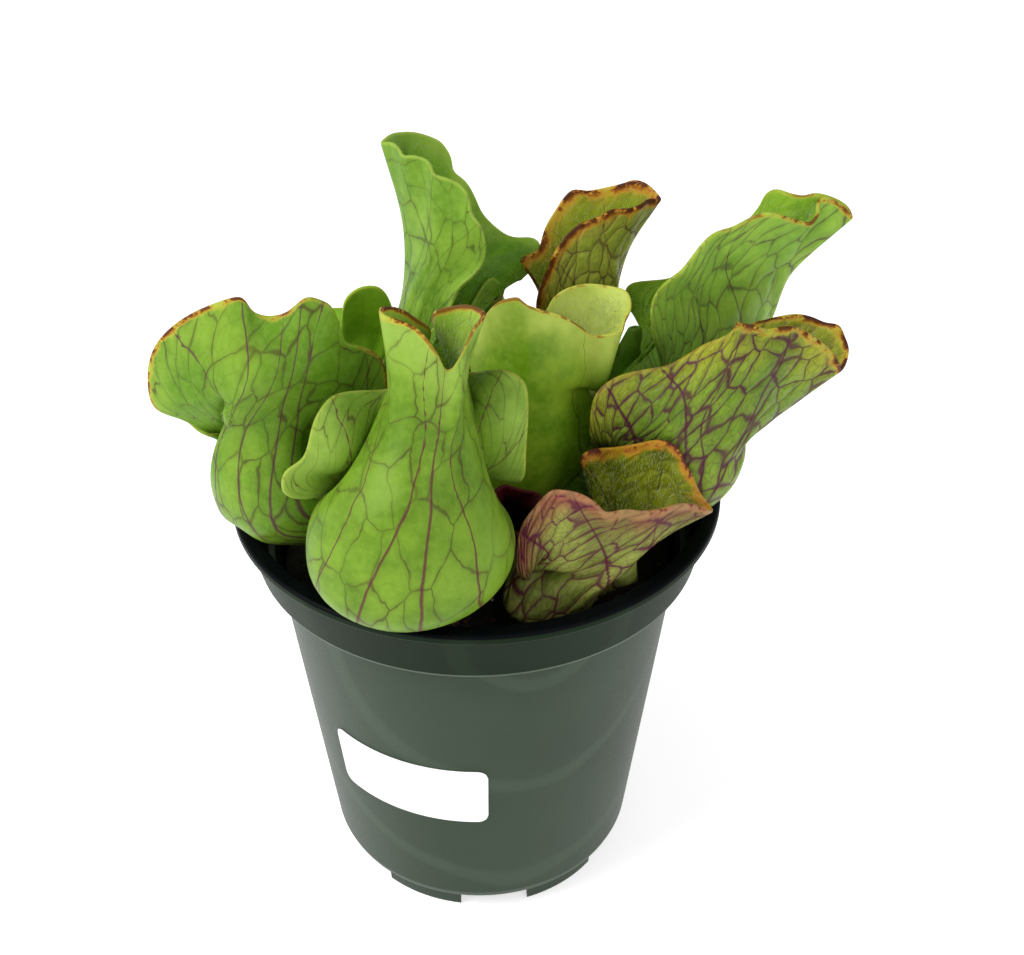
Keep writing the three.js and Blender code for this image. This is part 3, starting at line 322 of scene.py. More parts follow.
            (160, -21, 19, 132.5), (180, -25, 21, 129),
        ],
    ),
    "pitcher_young": dict(
        back=-80, slant=0.2,
        tube=[
            (2.2, -6.4, 94.9, 2.1, 2.1), (2.6, -9, 98.6, 2.4, 2.4), (3, -12.5, 102, 3.2, 3.2),
            (4, -15.8, 105.2, 4, 3.8), (5.6, -18.4, 108.6, 4.8, 4.6),
        ],
        mid=[
            (-120, 5, -18, 113.5), (-60, 4.5, -24, 111.5), (0, 8, -24, 109.5), (60, 12, -22, 110),
            (120, 13, -19, 113.5), (180, 9.5, -17, 114.5),
        ],
        rim=[
            (-135, 5.5, -17, 118), (-105, 3.5, -19, 117.5), (-70, 3, -24, 116.5), (-35, 5, -27, 111.5),
            (0, 8.5, -24, 108), (35, 11.5, -23, 109.5), (70, 13.5, -21.5, 112), (105, 14.5, -19, 114.5),
            (135, 13.5, -17, 115.5), (180, 9.5, -16.5, 116.5),
        ],
    ),
    "pitcher_back_low": dict(
        back=100, slant=0.3,
        tube=stalk((3.4, 11.2), (3.7, 14.2)) + [
            (4.5, 20, 99, 4.5, 4.2), (4.6, 26.5, 104, 7.4, 7.2), (4.4, 32, 111, 9.4, 9.5),
            (4.5, 36, 121, 9.2, 9), (4, 37, 131, 8, 7.5),
        ],
        mid=[
            (-120, 6.5, 34, 137.5), (-60, 6.5, 42, 137.5), (0, 2, 47, 137.5), (60, -2.5, 42, 137.5),
            (120, -2, 34, 137.5), (180, 2, 31, 136),
        ],
        rim=[
            (-145, 6.5, 31, 139), (-110, 8, 35, 141), (-80, 8, 40, 143), (-50, 7, 46, 145),
            (-25, 5, 51, 145), (0, 2, 54, 146), (25, -2.5, 51, 146.5), (50, -5, 46, 145),
            (80, -6, 40, 143.5), (110, -5, 35, 141), (145, -2, 31, 139), (180, 2, 30, 138.5),
        ],
    ),
}


def smoothstep(low, high, value):
    """Rises smoothly from 0 at low to 1 at high."""
    share = np.clip((value - low) / (high - low), 0, 1)
    return share * share * (3 - 2 * share)


def unit(vectors):
    return vectors / np.maximum(np.linalg.norm(vectors, axis=-1, keepdims=True), 1e-9)


def knot_slopes(knots, values):
    """The slope at each knot, in which the nearer neighbour counts for more."""
    steps = np.diff(knots).reshape((-1,) + (1,) * (values.ndim - 1))
    rises = np.diff(values, axis=0) / steps
    slopes = np.concatenate([rises[:1], rises])
    slopes[1:-1] = (rises[:-1] * steps[1:] + rises[1:] * steps[:-1]) / (steps[:-1] + steps[1:])
    return slopes


def curve_at(knots, values, at):
    """A smooth curve through values at knots, read at the places at."""
    knots, values, at = np.asarray(knots, float), np.asarray(values, float), np.asarray(at, float)
    spread = (-1,) + (1,) * (values.ndim - 1)
    slopes = knot_slopes(knots, values)
    i = np.clip(np.searchsorted(knots, at, side="right") - 1, 0, len(knots) - 2)
    step = (knots[i + 1] - knots[i]).reshape(spread)
    t = ((at - knots[i]) / (knots[i + 1] - knots[i])).reshape(spread)
    return (
        (2 * t**3 - 3 * t**2 + 1) * values[i]
        + (t**3 - 2 * t**2 + t) * step * slopes[i]
        + (3 * t**2 - 2 * t**3) * values[i + 1]
        + (t**3 - t**2) * step * slopes[i + 1]
    )


def closed_ring(rows, angles):
    """A closed smooth curve through rows of an angle and a place, read at the angles."""
    rows = np.array(sorted(rows), float)
    knots = np.concatenate([rows[:, 0] - 360, rows[:, 0], rows[:, 0] + 360])
    return curve_at(knots, np.tile(rows[:, 1:], (3, 1)), angles)


def tube_rings(leaf, angles):
    """The rings of the tube, round its middle line; the front ones hang lower by the slant."""
    tube = np.array(leaf["tube"], float)
    middle = tube[:, :3]
    knots = np.concatenate([[0], np.cumsum(np.linalg.norm(np.diff(middle, axis=0), axis=1))])
    along = knot_slopes(knots, middle)
    turn, back = np.radians(angles), math.radians(leaf["back"])
    facing = np.array([math.cos(back), math.sin(back), 0])
    rings = []
    for k in range(len(tube)):
        way = along[k] / np.linalg.norm(along[k])
        deep = facing - facing.dot(way) * way
        deep /= np.linalg.norm(deep)
        side = np.cross(way, deep)
        rings.append(middle[k] + tube[k, 3] * np.sin(turn)[:, None] * side
                     + tube[k, 4] * np.cos(turn)[:, None] * deep)
    rings = np.array(rings)
    front = (1 - np.cos(turn)) / 2
    slipped = []
    for k in range(len(tube)):
        at = knots[k] * (1 - leaf["slant"] * (knots[k] / knots[-1]) * front)
        slipped.append([curve_at(knots, rings[:, j], [at[j]])[0] for j in range(len(angles))])
    return np.array(slipped)


def leaf_rings(leaf, angles):
    """The tube's rings, the ring half way up the hood and the rim; the hood starts off the tube's front."""
    tube = tube_rings(leaf, angles)
    rim = closed_ring(leaf["rim"], angles)
    front = smoothstep(115, 160, np.abs((angles + 180) % 360 - 180))[:, None]
    hood = closed_ring(leaf["mid"], angles) * (1 - front) + (tube[-1] + rim) / 2 * front
    return np.concatenate([tube, [hood], [rim]])


def softened(net, times):
    """Evens a net out, round and along; the rim row is evened only round."""
    net = net.copy()
    for _ in range(times):
        net += 0.25 * (np.roll(net, 1, axis=1) + np.roll(net, -1, axis=1) - 2 * net)
        net[1:-1] += 0.25 * (net[:-2] + net[2:] - 2 * net[1:-1])
    return net


def leaf_net(leaf, count, rows):
    """The outer face as rows of points, foot to rim, and each row's share of the leaf's length."""
    coarse = leaf_rings(leaf, np.arange(-180.0, 180.0, 15.0))
    steps = np.linalg.norm(np.diff(coarse, axis=0), axis=2).mean(axis=1)
    knots = np.concatenate([[0], np.cumsum(steps)])
    angles = np.linspace(-180, 180, count, endpoint=False)
    shares = 1 - (1 - np.linspace(0, 1, rows)) ** 1.15
    net = curve_at(knots, leaf_rings(leaf, angles), shares * knots[-1])
    return softened(net, 3), angles, shares


def net_normals(net):
    """The net's outward directions, a little evened out."""
    round_ = np.roll(net, -1, axis=1) - np.roll(net, 1, axis=1)
    up = np.gradient(net, axis=0)
    return unit(softened(unit(np.cross(round_, up)), 2))


def new_object(name, points, faces, materials=(), kinds=None, smooth=True):
    """A mesh object; kinds say which of the materials each face has."""
    mesh = bpy.data.meshes.new(name)
    mesh.from_pydata([tuple(p) for p in points], [], [tuple(f) for f in faces])
    for material in materials:
        mesh.materials.append(material)
    if kinds is not None:
        mesh.polygons.foreach_set("material_index", np.asarray(kinds, np.int32))
    if smooth:
        mesh.polygons.foreach_set("use_smooth", np.ones(len(mesh.polygons), bool))
    mesh.validate()
    mesh.update()
    piece = bpy.data.objects.new(name, mesh)
    bpy.context.scene.collection.objects.link(piece)
    return piece


def turns_round(count):
    """Even angles round a circle, in radians."""
    return 2 * math.pi * np.arange(count) / count


def ring_faces(count, rings, closed=True):
    """The faces between rings of count points; if closed, the last two points are the ends' middles."""
    j = np.arange(count)
    k = (j + 1) % count
    starts = range(0, (rings - 1) * count, count)
    faces = np.concatenate([np.stack([low + j, low + k, low + count + k, low + count + j], axis=1)
                            for low in starts]).tolist()
    if closed:
        last, foot = (rings - 1) * count, rings * count
        faces += [(foot, (i + 1) % count, i) for i in range(count)]
        faces += [(last + i, last + (i + 1) % count, foot + 1) for i in range(count)]
    return faces


def vein_lanes(turns, shares, veins):
    """Counts the veins from the leaf's front round to its front, with a half between two of them."""
    paths = [curve_at([p[0] for p in vein], [p[1] for p in vein], shares) for vein in veins]
    paths = np.sort(np.array(paths), axis=0)
    lanes = np.empty((len(shares), len(turns)))
    gaps = np.empty_like(lanes)
    for i in range(len(shares)):
        at = np.concatenate([[paths[-1, i] - 360], paths[:, i], [paths[0, i] + 360]])
        lanes[i] = np.interp(turns, at, np.arange(len(at)))
        seat = np.clip(np.searchsorted(at, turns, side="right") - 1, 0, len(at) - 2)
        gaps[i] = at[seat + 1] - at[seat]
    return lanes, gaps


def even_veins(count):
    """Veins at even angles, one along the seam at the front and one down the middle of the back."""
    turns = [360 * k / count - 180 for k in range(count)]
    return [[(0, turn), (1, turn)] for turn in turns]


def colour(code):
    """An sRGB hex code as linear red, green, blue and alpha."""
    parts = [int(code[i:i + 2], 16) / 255 for i in (1, 3, 5)]
    return tuple(p / 12.92 if p <= 0.04045 else ((p + 0.055) / 1.055) ** 2.4 for p in parts) + (1.0,)


def add(tree, kind, inputs=(), output=0, **settings):
    """Adds a node with its settings and its inputs' values or links, and gives one of its outputs."""
    node = tree.nodes.new(kind)
    for name, value in settings.items():
        setattr(node, name, value)
    if not isinstance(inputs, dict):
        inputs = dict(enumerate(inputs))
    for key, value in inputs.items():
        if isinstance(value, bpy.types.NodeSocket):
            tree.links.new(value, node.inputs[key])
        else:
            node.inputs[key].default_value = value
    return node.outputs[output] if len(node.outputs) else node


# How fine each pattern is, in features a metre: 1000 divided by it is a feature's size in millimetres
MOTTLES = 70.0
SKIN_PEBBLES = 620.0
VEIN_BENDS = 110.0
RIM_RAGS = 240.0
SCORCH_SPOTS = 150.0
POT_CLOUDS = 28.0
FLOW_RINGS = 9.0
POT_GRAIN = 2600.0
POT_SCUFFS = 190.0
FILM_CLOUDS = 160.0
FILM_FIBRES = 1500.0

# Settings that many nodes share
SMOOTH = dict(interpolation_type="SMOOTHSTEP")
MIXED = dict(data_type="RGBA", output=2)
TIMES = dict(operation="MULTIPLY")
FLAT = dict(noise_dimensions="2D")


def started(name):
    made = bpy.data.materials.new(name)
    made.use_nodes = True
    made.node_tree.nodes.clear()
    return made, made.node_tree


def leaf_finish(name, look, inside):
    """Waxy living leaf: a smooth cuticle with a soft sheen over green tissue that glows a little where
    light enters, purple veins that run up it and branch into a net, and a dried, browned rim."""
    made, tree = started(name)
    place = add(tree, "ShaderNodeTexCoord", output="Object")
    sheet = add(tree, "ShaderNodeUVMap", uv_map="Surface")
    lanes = add(tree, "ShaderNodeUVMap", uv_map="Veins")
    lane, gap = [add(tree, "ShaderNodeSeparateXYZ", {0: lanes}, k) for k in (0, 1)]
    rim, share, tinge = [add(tree, "ShaderNodeAttribute", output="Fac", attribute_name=key)
                         for key in ("rim_mm", "share", "tinge")]

    # Tissue: broad mottling, finer cells, and a paler or redder tint towards the rim; on the centre leaf
    # that pale tint is a painted highlight
    broad = add(tree, "ShaderNodeTexNoise", {
        "Vector": place, "Scale": MOTTLES, "Detail": 3.0, "Roughness": 0.6})
    fine = add(tree, "ShaderNodeTexNoise", {
        "Vector": place, "Scale": SKIN_PEBBLES, "Detail": 3.0, "Roughness": 0.65})
    patch = add(tree, "ShaderNodeMapRange", (broad, 0.36, 0.64, 0.0, 1.0), **SMOOTH)
    tissue = add(tree, "ShaderNodeMix", {
        0: patch, 6: colour(look["deep"]), 7: colour(look["light"])}, **MIXED)
    grain = add(tree, "ShaderNodeMapRange", (fine, 0.3, 0.75, 0.0, 0.28), **SMOOTH)
    tissue = add(tree, "ShaderNodeMix", {0: grain, 6: tissue, 7: colour(look["pale"])}, **MIXED)
    near_rim = add(tree, "ShaderNodeMapRange", (
        rim, 0.5, look["tint_and_painted_highlight_reach_mm"], look["tint_and_painted_highlight_strength"], 0.0), **SMOOTH)
    cloud = add(tree, "ShaderNodeMapRange", (broad, 0.3, 0.7, 0.35, 1.0), **SMOOTH)
    rim_tint_and_painted_highlight = add(tree, "ShaderNodeMath", (near_rim, cloud), **TIMES)
    tissue = add(tree, "ShaderNodeMix", {0: rim_tint_and_painted_highlight, 6: tissue, 7: colour(look["rim_tint_and_painted_highlight"])}, **MIXED)

    # Long veins: they wander a little and thin out towards the rim
    bend = add(tree, "ShaderNodeTexNoise", {"Vector": place, "Scale": VEIN_BENDS, "Detail": 3.0})
    sway = add(tree, "ShaderNodeMapRange", {0: bend, 1: 0.0, 2: 1.0, 3: -look["sway"], 4: look["sway"]})
    swayed = add(tree, "ShaderNodeMath", (lane, sway), operation="ADD")
    nearest = add(tree, "ShaderNodeMath", (swayed,), operation="ROUND")
    off = add(tree, "ShaderNodeMath", (swayed, nearest), operation="SUBTRACT")
    off = add(tree, "ShaderNodeMath", (off,), operation="ABSOLUTE")
    off = add(tree, "ShaderNodeMath", (off, gap), **TIMES)
    vigour = add(tree, "ShaderNodeTexWhiteNoise", {"W": nearest}, noise_dimensions="1D")
    vigour = add(tree, "ShaderNodeMapRange", (vigour, 0.0, 1.0, 0.55, 1.0), **SMOOTH)
    width = add(tree, "ShaderNodeMapRange", (share, 0.25, 1.0, look["main_mm"], look["main_mm"] * 0.35))
    width = add(tree, "ShaderNodeMath", (width, vigour), **TIMES)
    past = add(tree, "ShaderNodeMath", (off, width), operation="DIVIDE")
    main = add(tree, "ShaderNodeMapRange", (past, 0.15, 0.95, 1.0, 0.0), **SMOOTH)
    by_main = add(tree, "ShaderNodeMapRange", (off, 0.0, 6.0, 1.45, 0.7), **SMOOTH)

    # The net between them: polygons several millimetres across with finer ones inside, drawn on the
    # leaf's own unrolled surface, so that every line keeps its width, and bent so that none runs straight
    bent = sheet
    for scale, reach in ((0.12, 3.4), (0.5, 0.8)):
        shift = add(tree, "ShaderNodeTexNoise", {
            "Vector": sheet, "Scale": scale, "Detail": 1.0}, "Color", **FLAT)
        shift = add(tree, "ShaderNodeVectorMath", {0: shift, 1: (0.5, 0.5, 0.5)}, operation="SUBTRACT")
        shift = add(tree, "ShaderNodeVectorMath", {0: shift, 3: reach}, operation="SCALE")
        bent = add(tree, "ShaderNodeVectorMath", {0: bent, 1: shift}, operation="ADD")
    long_ways = add(tree, "ShaderNodeMapping", {0: bent, 3: (1.0, 0.75, 1.0)})
    uneven = add(tree, "ShaderNodeTexNoise", {"Vector": sheet, "Scale": 0.22, "Detail": 1.0}, **FLAT)
    uneven = add(tree, "ShaderNodeMapRange", (uneven, 0.35, 0.65, 0.6, 1.3), **SMOOTH)
    uneven = add(tree, "ShaderNodeMath", (uneven, by_main), **TIMES)
    faded = add(tree, "ShaderNodeTexNoise", {"Vector": sheet, "Scale": 0.1, "Detail": 2.0}, **FLAT)
    faded = add(tree, "ShaderNodeMapRange", (faded, 0.35, 0.62, look["faintest"], 1.0), **SMOOTH)
    clear = add(tree, "ShaderNodeMapRange", (share, 0.12, 0.4, 0.0, 1.0), **SMOOTH)
    clear = add(tree, "ShaderNodeMath", (clear, faded), **TIMES)
    dim = 0.5 if inside else 1.0
    web, edges = 0.0, []
    for size, wide, strength in ((look["cell_mm"], look["net_mm"], look["net"]),
                                 (look["cell_mm"] * 0.36, look["net_mm"] * 0.4, look["small_net"])):
        edge = add(tree, "ShaderNodeTexVoronoi", {"Vector": long_ways, "Scale": 1 / size, "Randomness": 1.0},
                   voronoi_dimensions="2D", feature="DISTANCE_TO_EDGE")
        edge_mm = add(tree, "ShaderNodeMath", (edge, size), **TIMES)
        edges.append(edge_mm)
        thick = add(tree, "ShaderNodeMath", (edge_mm, uneven), operation="DIVIDE")
        line = add(tree, "ShaderNodeMapRange", (thick, wide * 0.05, wide * 0.66, 1.0, 0.0), **SMOOTH)
        glow = add(tree, "ShaderNodeMapRange", (thick, 0.0, wide * 2.4, 0.28, 0.0), **SMOOTH)
        line = add(tree, "ShaderNodeMath", (line, glow), operation="MAXIMUM")
        line = add(tree, "ShaderNodeMath", (line, clear), **TIMES)
        line = add(tree, "ShaderNodeMath", (line, min(strength * dim, 1.0)), **TIMES)
        web = add(tree, "ShaderNodeMath", (web, line), operation="MAXIMUM")
    tissue = add(tree, "ShaderNodeMix", {0: web, 6: tissue, 7: colour(look["web"])}, **MIXED)
    main = add(tree, "ShaderNodeMath", (main, min(look["main"] * dim, 1.0)), **TIMES)
    tissue = add(tree, "ShaderNodeMix", {0: main, 6: tissue, 7: colour(look["vein"])}, **MIXED)

    # The rim: a thin pale edge, and where it is tinged, orange, with brown where it has dried
    ragged = add(tree, "ShaderNodeTexNoise", {
        "Vector": place, "Scale": RIM_RAGS, "Detail": 4.0, "Roughness": 0.7})
    reach = add(tree, "ShaderNodeMapRange", {0: ragged, 1: 0.3, 2: 0.7, 3: look["edge_mm"] * 0.3,
                                             4: look["edge_mm"] * 1.6})
    grown = add(tree, "ShaderNodeMapRange", (tinge, 0.0, 1.0, 0.3, 1.0))
    reach = add(tree, "ShaderNodeMath", (reach, grown), **TIMES)
    edge_share = add(tree, "ShaderNodeMath", (rim, reach), operation="DIVIDE")
    yellowed = add(tree, "ShaderNodeMapRange", (edge_share, 0.5, 1.25, look["edge"], 0.0), **SMOOTH)
    yellowed = add(tree, "ShaderNodeMath", (yellowed, grown), **TIMES)
    tissue = add(tree, "ShaderNodeMix", {0: yellowed, 6: tissue, 7: colour(look["yellow"])}, **MIXED)
    scorch = add(tree, "ShaderNodeTexNoise", {
        "Vector": place, "Scale": SCORCH_SPOTS, "Detail": 4.0, "Roughness": 0.75})
    for reached, spread, low, high, tone in (
            (0.95, 0.2, 0.62, 0.72, "orange"), (0.7, 0.05, 0.66, 0.74, "brown")):
        band_share = add(tree, "ShaderNodeMapRange", (edge_share, spread, reached, 1.0, 0.0), **SMOOTH)
        spots = add(tree, "ShaderNodeMapRange", (
            scorch, low - look["scorch"] * 0.3, high - look["scorch"] * 0.3, 0.0, 1.0), **SMOOTH)
        burnt = add(tree, "ShaderNodeMath", (band_share, spots), **TIMES)
        burnt = add(tree, "ShaderNodeMath", (burnt, tinge), **TIMES)
        tissue = add(tree, "ShaderNodeMix", {0: burnt, 6: tissue, 7: colour(look[tone])}, **MIXED)

    # Relief: sunken veins, pillowed tissue between them, and a fine pebbled skin
    pillow = add(tree, "ShaderNodeMapRange", (edges[0], 0.0, look["cell_mm"] * 0.35, 0.0, 1.0), **SMOOTH)
    relief = add(tree, "ShaderNodeMath", (pillow, look["pillow"]), **TIMES)
    relief = add(tree, "ShaderNodeMath", (fine, 0.3, relief), operation="MULTIPLY_ADD")
    normal = add(tree, "ShaderNodeBump", {"Height": relief, "Strength": 0.7, "Distance": 0.4 * MM})
    gloss = add(tree, "ShaderNodeMapRange", (
        fine, 0.2, 0.8, look["rough"] - 0.07, look["rough"] + 0.08), **SMOOTH)
    skin = add(tree, "ShaderNodeBsdfPrincipled", {
        "Base Color": tissue, "Roughness": gloss, "Normal": normal, "IOR": 1.43, "Specular IOR Level": 0.16,
        "Subsurface Weight": 0.08, "Subsurface Radius": (0.5, 1.0, 0.2), "Subsurface Scale": 1.2 * MM})
    add(tree, "ShaderNodeOutputMaterial", {"Surface": skin})
    return made


# Each leaf's look, where it isn't plain green. Sizes are in millimetres; main, net and small_net say how
# dark each kind of vein is.
GREEN = dict(light="#84ac2a", deep="#6c981a", pale="#9cc04a", rim_tint_and_painted_highlight="#8fb440", tint_and_painted_highlight_reach_mm=9.0, tint_and_painted_highlight_strength=0.3,
             vein="#6a2c30", web="#4f6a22", main=0.85, net=0.5, small_net=0.12, main_mm=0.85, net_mm=0.5,
             cell_mm=6.4, sway=0.07, yellow="#b8b440", orange="#b8761e", brown="#4a260e", edge=0.6,
             edge_mm=0.6, scorch=0.4, pillow=0.5, rough=0.4, faintest=0.45)
LOOKS = {
    "pitcher_front": dict(
        GREEN, light="#719427", deep="#567a1a", pale="#88aa3c", web="#42361c", net=0.74, vein="#5a1e30",
        faintest=0.65, cell_mm=7.4, pillow=0.0, edge_mm=0.9, scorch=0.7, rim_tint_and_painted_highlight="#a8c260", tint_and_painted_highlight_reach_mm=13.0,
        tint_and_painted_highlight_strength=0.4, sway=0.1),
    "pitcher_left": dict(
        GREEN, light="#73972a", deep="#578218", pale="#8cae44", vein="#55283a", web="#423220", net=0.75,
        net_mm=0.66, cell_mm=6.2, small_net=0.2, pillow=0.15, scorch=0.7, edge_mm=1.1, faintest=0.65,
        sway=0.1, main_mm=1.0),
    "pitcher_back_left_tall": dict(
        GREEN, light="#80a636", deep="#648e28", vein="#464a20", web="#424622", net=0.72, main=0.45,
        cell_mm=5.6, net_mm=0.6, pillow=0.0, scorch=0.1, yellow="#bcc45c"),
    "pitcher_back_red": dict(
        GREEN, light="#b0b844", deep="#8c9c30", pale="#c4c858", vein="#5a2230", web="#562230", net=0.82,
        main=0.6, net_mm=0.7, cell_mm=4.2, small_net=0.3, faintest=0.85, pillow=1.0, edge_mm=2.2,
        scorch=0.8, rim_tint_and_painted_highlight="#b4703c", tint_and_painted_highlight_reach_mm=6.0, tint_and_painted_highlight_strength=0.4, yellow="#c8a234", orange="#c07424"),
    "pitcher_right_tall": dict(
        GREEN, light="#90b640", deep="#74a032", vein="#472436", web="#442c30", net=0.74, main=0.7,
        net_mm=0.7, cell_mm=5.4, small_net=0.2, pillow=0.9, edge_mm=0.9, scorch=0.5, faintest=0.7),
    "pitcher_right_netted": dict(
        GREEN, light="#7c9a2c", deep="#5c8220", pale="#98ac38", vein="#4f1f34", web="#4c2030", net=0.96,
        main=0.94, net_mm=1.05, cell_mm=4.7, small_net=0.45, main_mm=1.3, pillow=1.5, edge_mm=2.0,
        scorch=0.7, rim_tint_and_painted_highlight="#a09c24", tint_and_painted_highlight_reach_mm=12.0, tint_and_painted_highlight_strength=0.7, faintest=0.9),
    # The centre leaf: its pale tint near the rim is a painted highlight on its hood
    "pitcher_centre": dict(
        GREEN, light="#7c9c22", deep="#547e0c", pale="#98b038", vein="#33400f", net=0.0, main=0.6,
        small_net=0.05, main_mm=0.5, pillow=0.0, rim_tint_and_painted_highlight="#b8c85c", tint_and_painted_highlight_reach_mm=14.0, tint_and_painted_highlight_strength=0.9,
        edge_mm=0.7, scorch=0.7),
    "pitcher_front_red": dict(
        GREEN, light="#8d9a40", deep="#6c7c2c", pale="#a8a860", vein="#541a30", web="#541c32", net=0.96,
        main=0.94, net_mm=0.95, cell_mm=4.3, small_net=0.5, main_mm=1.1, pillow=1.5, rim_tint_and_painted_highlight="#9c3c44",
        tint_and_painted_highlight_reach_mm=7.5, tint_and_painted_highlight_strength=0.95, faintest=0.9, edge_mm=1.7, scorch=0.5, orange="#b0704a",
        brown="#5a2a20", yellow="#b08c5c"),
    "pitcher_back_left_low": dict(
        GREEN, light="#76a614", deep="#588412", pale="#84ac2a", net=0.2, main=0.3, pillow=0.0),
    "pitcher_young": dict(
        GREEN, light="#4c1418", deep="#300c0e", pale="#5c2426", vein="#22060a", net=0.4, web="#22060a",
        rim_tint_and_painted_highlight="#701c20", tint_and_painted_highlight_reach_mm=5.0, tint_and_painted_highlight_strength=0.5, edge=0.3, scorch=0.0, yellow="#702828",
        cell_mm=4.0),
    "pitcher_back_low": dict(
        GREEN, light="#2a4e06", deep="#1c3c02", pale="#34580e", net=0.15, main=0.25, pillow=0.0),
    "unopened_pitcher": dict(
        GREEN, light="#4c7a0c", deep="#2f5a06", pale="#5a8420", net=0.1, main=0.3, edge=0.0, pillow=0.0),
}

# What is different inside a leaf's throat
INSIDES = {
    "pitcher_front": dict(light="#86ac1a", deep="#64900a", pale="#a4c040", edge_mm=1.2, scorch=0.9),
    "pitcher_back_left_tall": dict(
        light="#6ca010", deep="#4c7c04", pale="#86b440", net=0.2, main=0.2, rim_tint_and_painted_highlight="#a4bf50", tint_and_painted_highlight_reach_mm=6.0,
        tint_and_painted_highlight_strength=0.6),
    "pitcher_back_red": dict(
        light="#98a818", deep="#748808", pale="#acb434", edge_mm=2.6, net=0.4, pillow=0.2),
    "pitcher_right_tall": dict(light="#74a008", deep="#548004", pale="#94b430", net=0.2, main=0.2),
    "pitcher_right_netted": dict(light="#8a9c1c", deep="#64780c", pale="#a6ac40"),
    "pitcher_centre": dict(light="#a0ac44", deep="#849430", pale="#c4ca80", scorch=0.4),
    "pitcher_front_red": dict(
        light="#7c860c", deep="#586404", pale="#969c2c", vein="#2a1a08", web="#2a1a08", net=1.0, main=1.4,
        edge_mm=2.2, tint_and_painted_highlight_strength=0.0, yellow="#c88a28", orange="#c07828"),
    "pitcher_young": dict(light="#1a0808", deep="#100404", pale="#240e0e"),
}

# How far each rim is tinged, round the leaf from its back: 0 stays green, 1 is orange and brown
TINGED = {
    "pitcher_front": [(-180, 0), (-108, 0), (-80, 0.5), (-60, 1), (-35, 0.9), (-15, 0.3), (0, 0.2),
                      (20, 0.4), (40, 0.9), (80, 0.7), (100, 0.1), (180, 0)],
    "pitcher_left": [(-180, 0.1), (-125, 0.1), (-108, 0.8), (-85, 0.9), (-58, 0.9), (-50, 0.2), (-44, 0.8),
                     (-25, 0.8), (-15, 0.1), (30, 0.1), (40, 0.6), (60, 0.6), (90, 0.2), (180, 0.1)],
    "pitcher_back_left_tall": [(-180, 0.15), (180, 0.15)],
    "pitcher_back_red": [(-180, 0.8), (-60, 1), (0, 1), (60, 1), (180, 0.8)],
    "pitcher_right_tall": [(-180, 0.1), (-90, 0.15), (-60, 0.4), (-40, 0.8), (0, 0.8), (30, 0.4), (60, 0.2),
                           (180, 0.1)],
    "pitcher_right_netted": [(-180, 0.1), (-150, 0.1), (-90, 0.2), (-76, 0.9), (0, 1), (80, 1), (110, 0.3),
                             (180, 0.1)],
    "pitcher_centre": [(-180, 0.5), (0, 0.6), (90, 0.3), (180, 0.5)],
    "pitcher_front_red": [(-180, 0.2), (-120, 0.2), (-100, 0.5), (-60, 0.8), (0, 1), (120, 1), (180, 0.2)],
}


def pot_plastic(name, base, lit, flow_tone, rough, level):
    """Moulded polypropylene, deep green: satin, with faint curved flow lines from the mould, a grain that
    only breaks up its gloss, and pale scuffs from handling."""
    made, tree = started(name)
    place = add(tree, "ShaderNodeTexCoord", output="Object")
    broad = add(tree, "ShaderNodeTexNoise", {"Vector": place, "Scale": POT_CLOUDS, "Detail": 3.0})
    flow_place = add(tree, "ShaderNodeMapping", {"Vector": place, "Location": (-0.012, 0.05, -0.1)})
    flow = add(tree, "ShaderNodeTexWave", {
        "Vector": flow_place, "Scale": FLOW_RINGS, "Distortion": 1.2, "Detail": 1.0, "Detail Scale": 3.0},
        wave_type="RINGS", rings_direction="SPHERICAL")
    grain = add(tree, "ShaderNodeTexNoise", {"Vector": place, "Scale": POT_GRAIN, "Detail": 2.0})
    tone = add(tree, "ShaderNodeMapRange", (broad, 0.3, 0.7, 0.0, 0.6), **SMOOTH)
    body = add(tree, "ShaderNodeMix", {0: tone, 6: colour(base), 7: colour(lit)}, **MIXED)
    line = add(tree, "ShaderNodeMapRange", (flow, 0.93, 1.0, 0.0, 0.27), **SMOOTH)
    body = add(tree, "ShaderNodeMix", {0: line, 6: body, 7: colour(flow_tone)}, **MIXED)
    scuff_place = add(tree, "ShaderNodeMapping", {"Vector": place, "Scale": (1.0, 1.0, 6.0)})
    scuffs = add(tree, "ShaderNodeTexNoise", {
        "Vector": scuff_place, "Scale": POT_SCUFFS, "Detail": 5.0, "Roughness": 0.75})
    scuffed = add(tree, "ShaderNodeMapRange", (scuffs, 0.66, 0.78, 0.0, 0.25), **SMOOTH)
    body = add(tree, "ShaderNodeMix", {0: scuffed, 6: body, 7: colour("#8d978c")}, **MIXED)
    gloss = add(tree, "ShaderNodeMapRange", (grain, 0.3, 0.7, rough - 0.05, rough + 0.06))
    normal = add(tree, "ShaderNodeBump", {"Height": grain, "Strength": 0.12, "Distance": 0.05 * MM})
    skin = add(tree, "ShaderNodeBsdfPrincipled", {
        "Base Color": body, "Roughness": gloss, "Normal": normal, "IOR": 1.49, "Specular IOR Level": level})
    add(tree, "ShaderNodeOutputMaterial", {"Surface": skin})
    return made


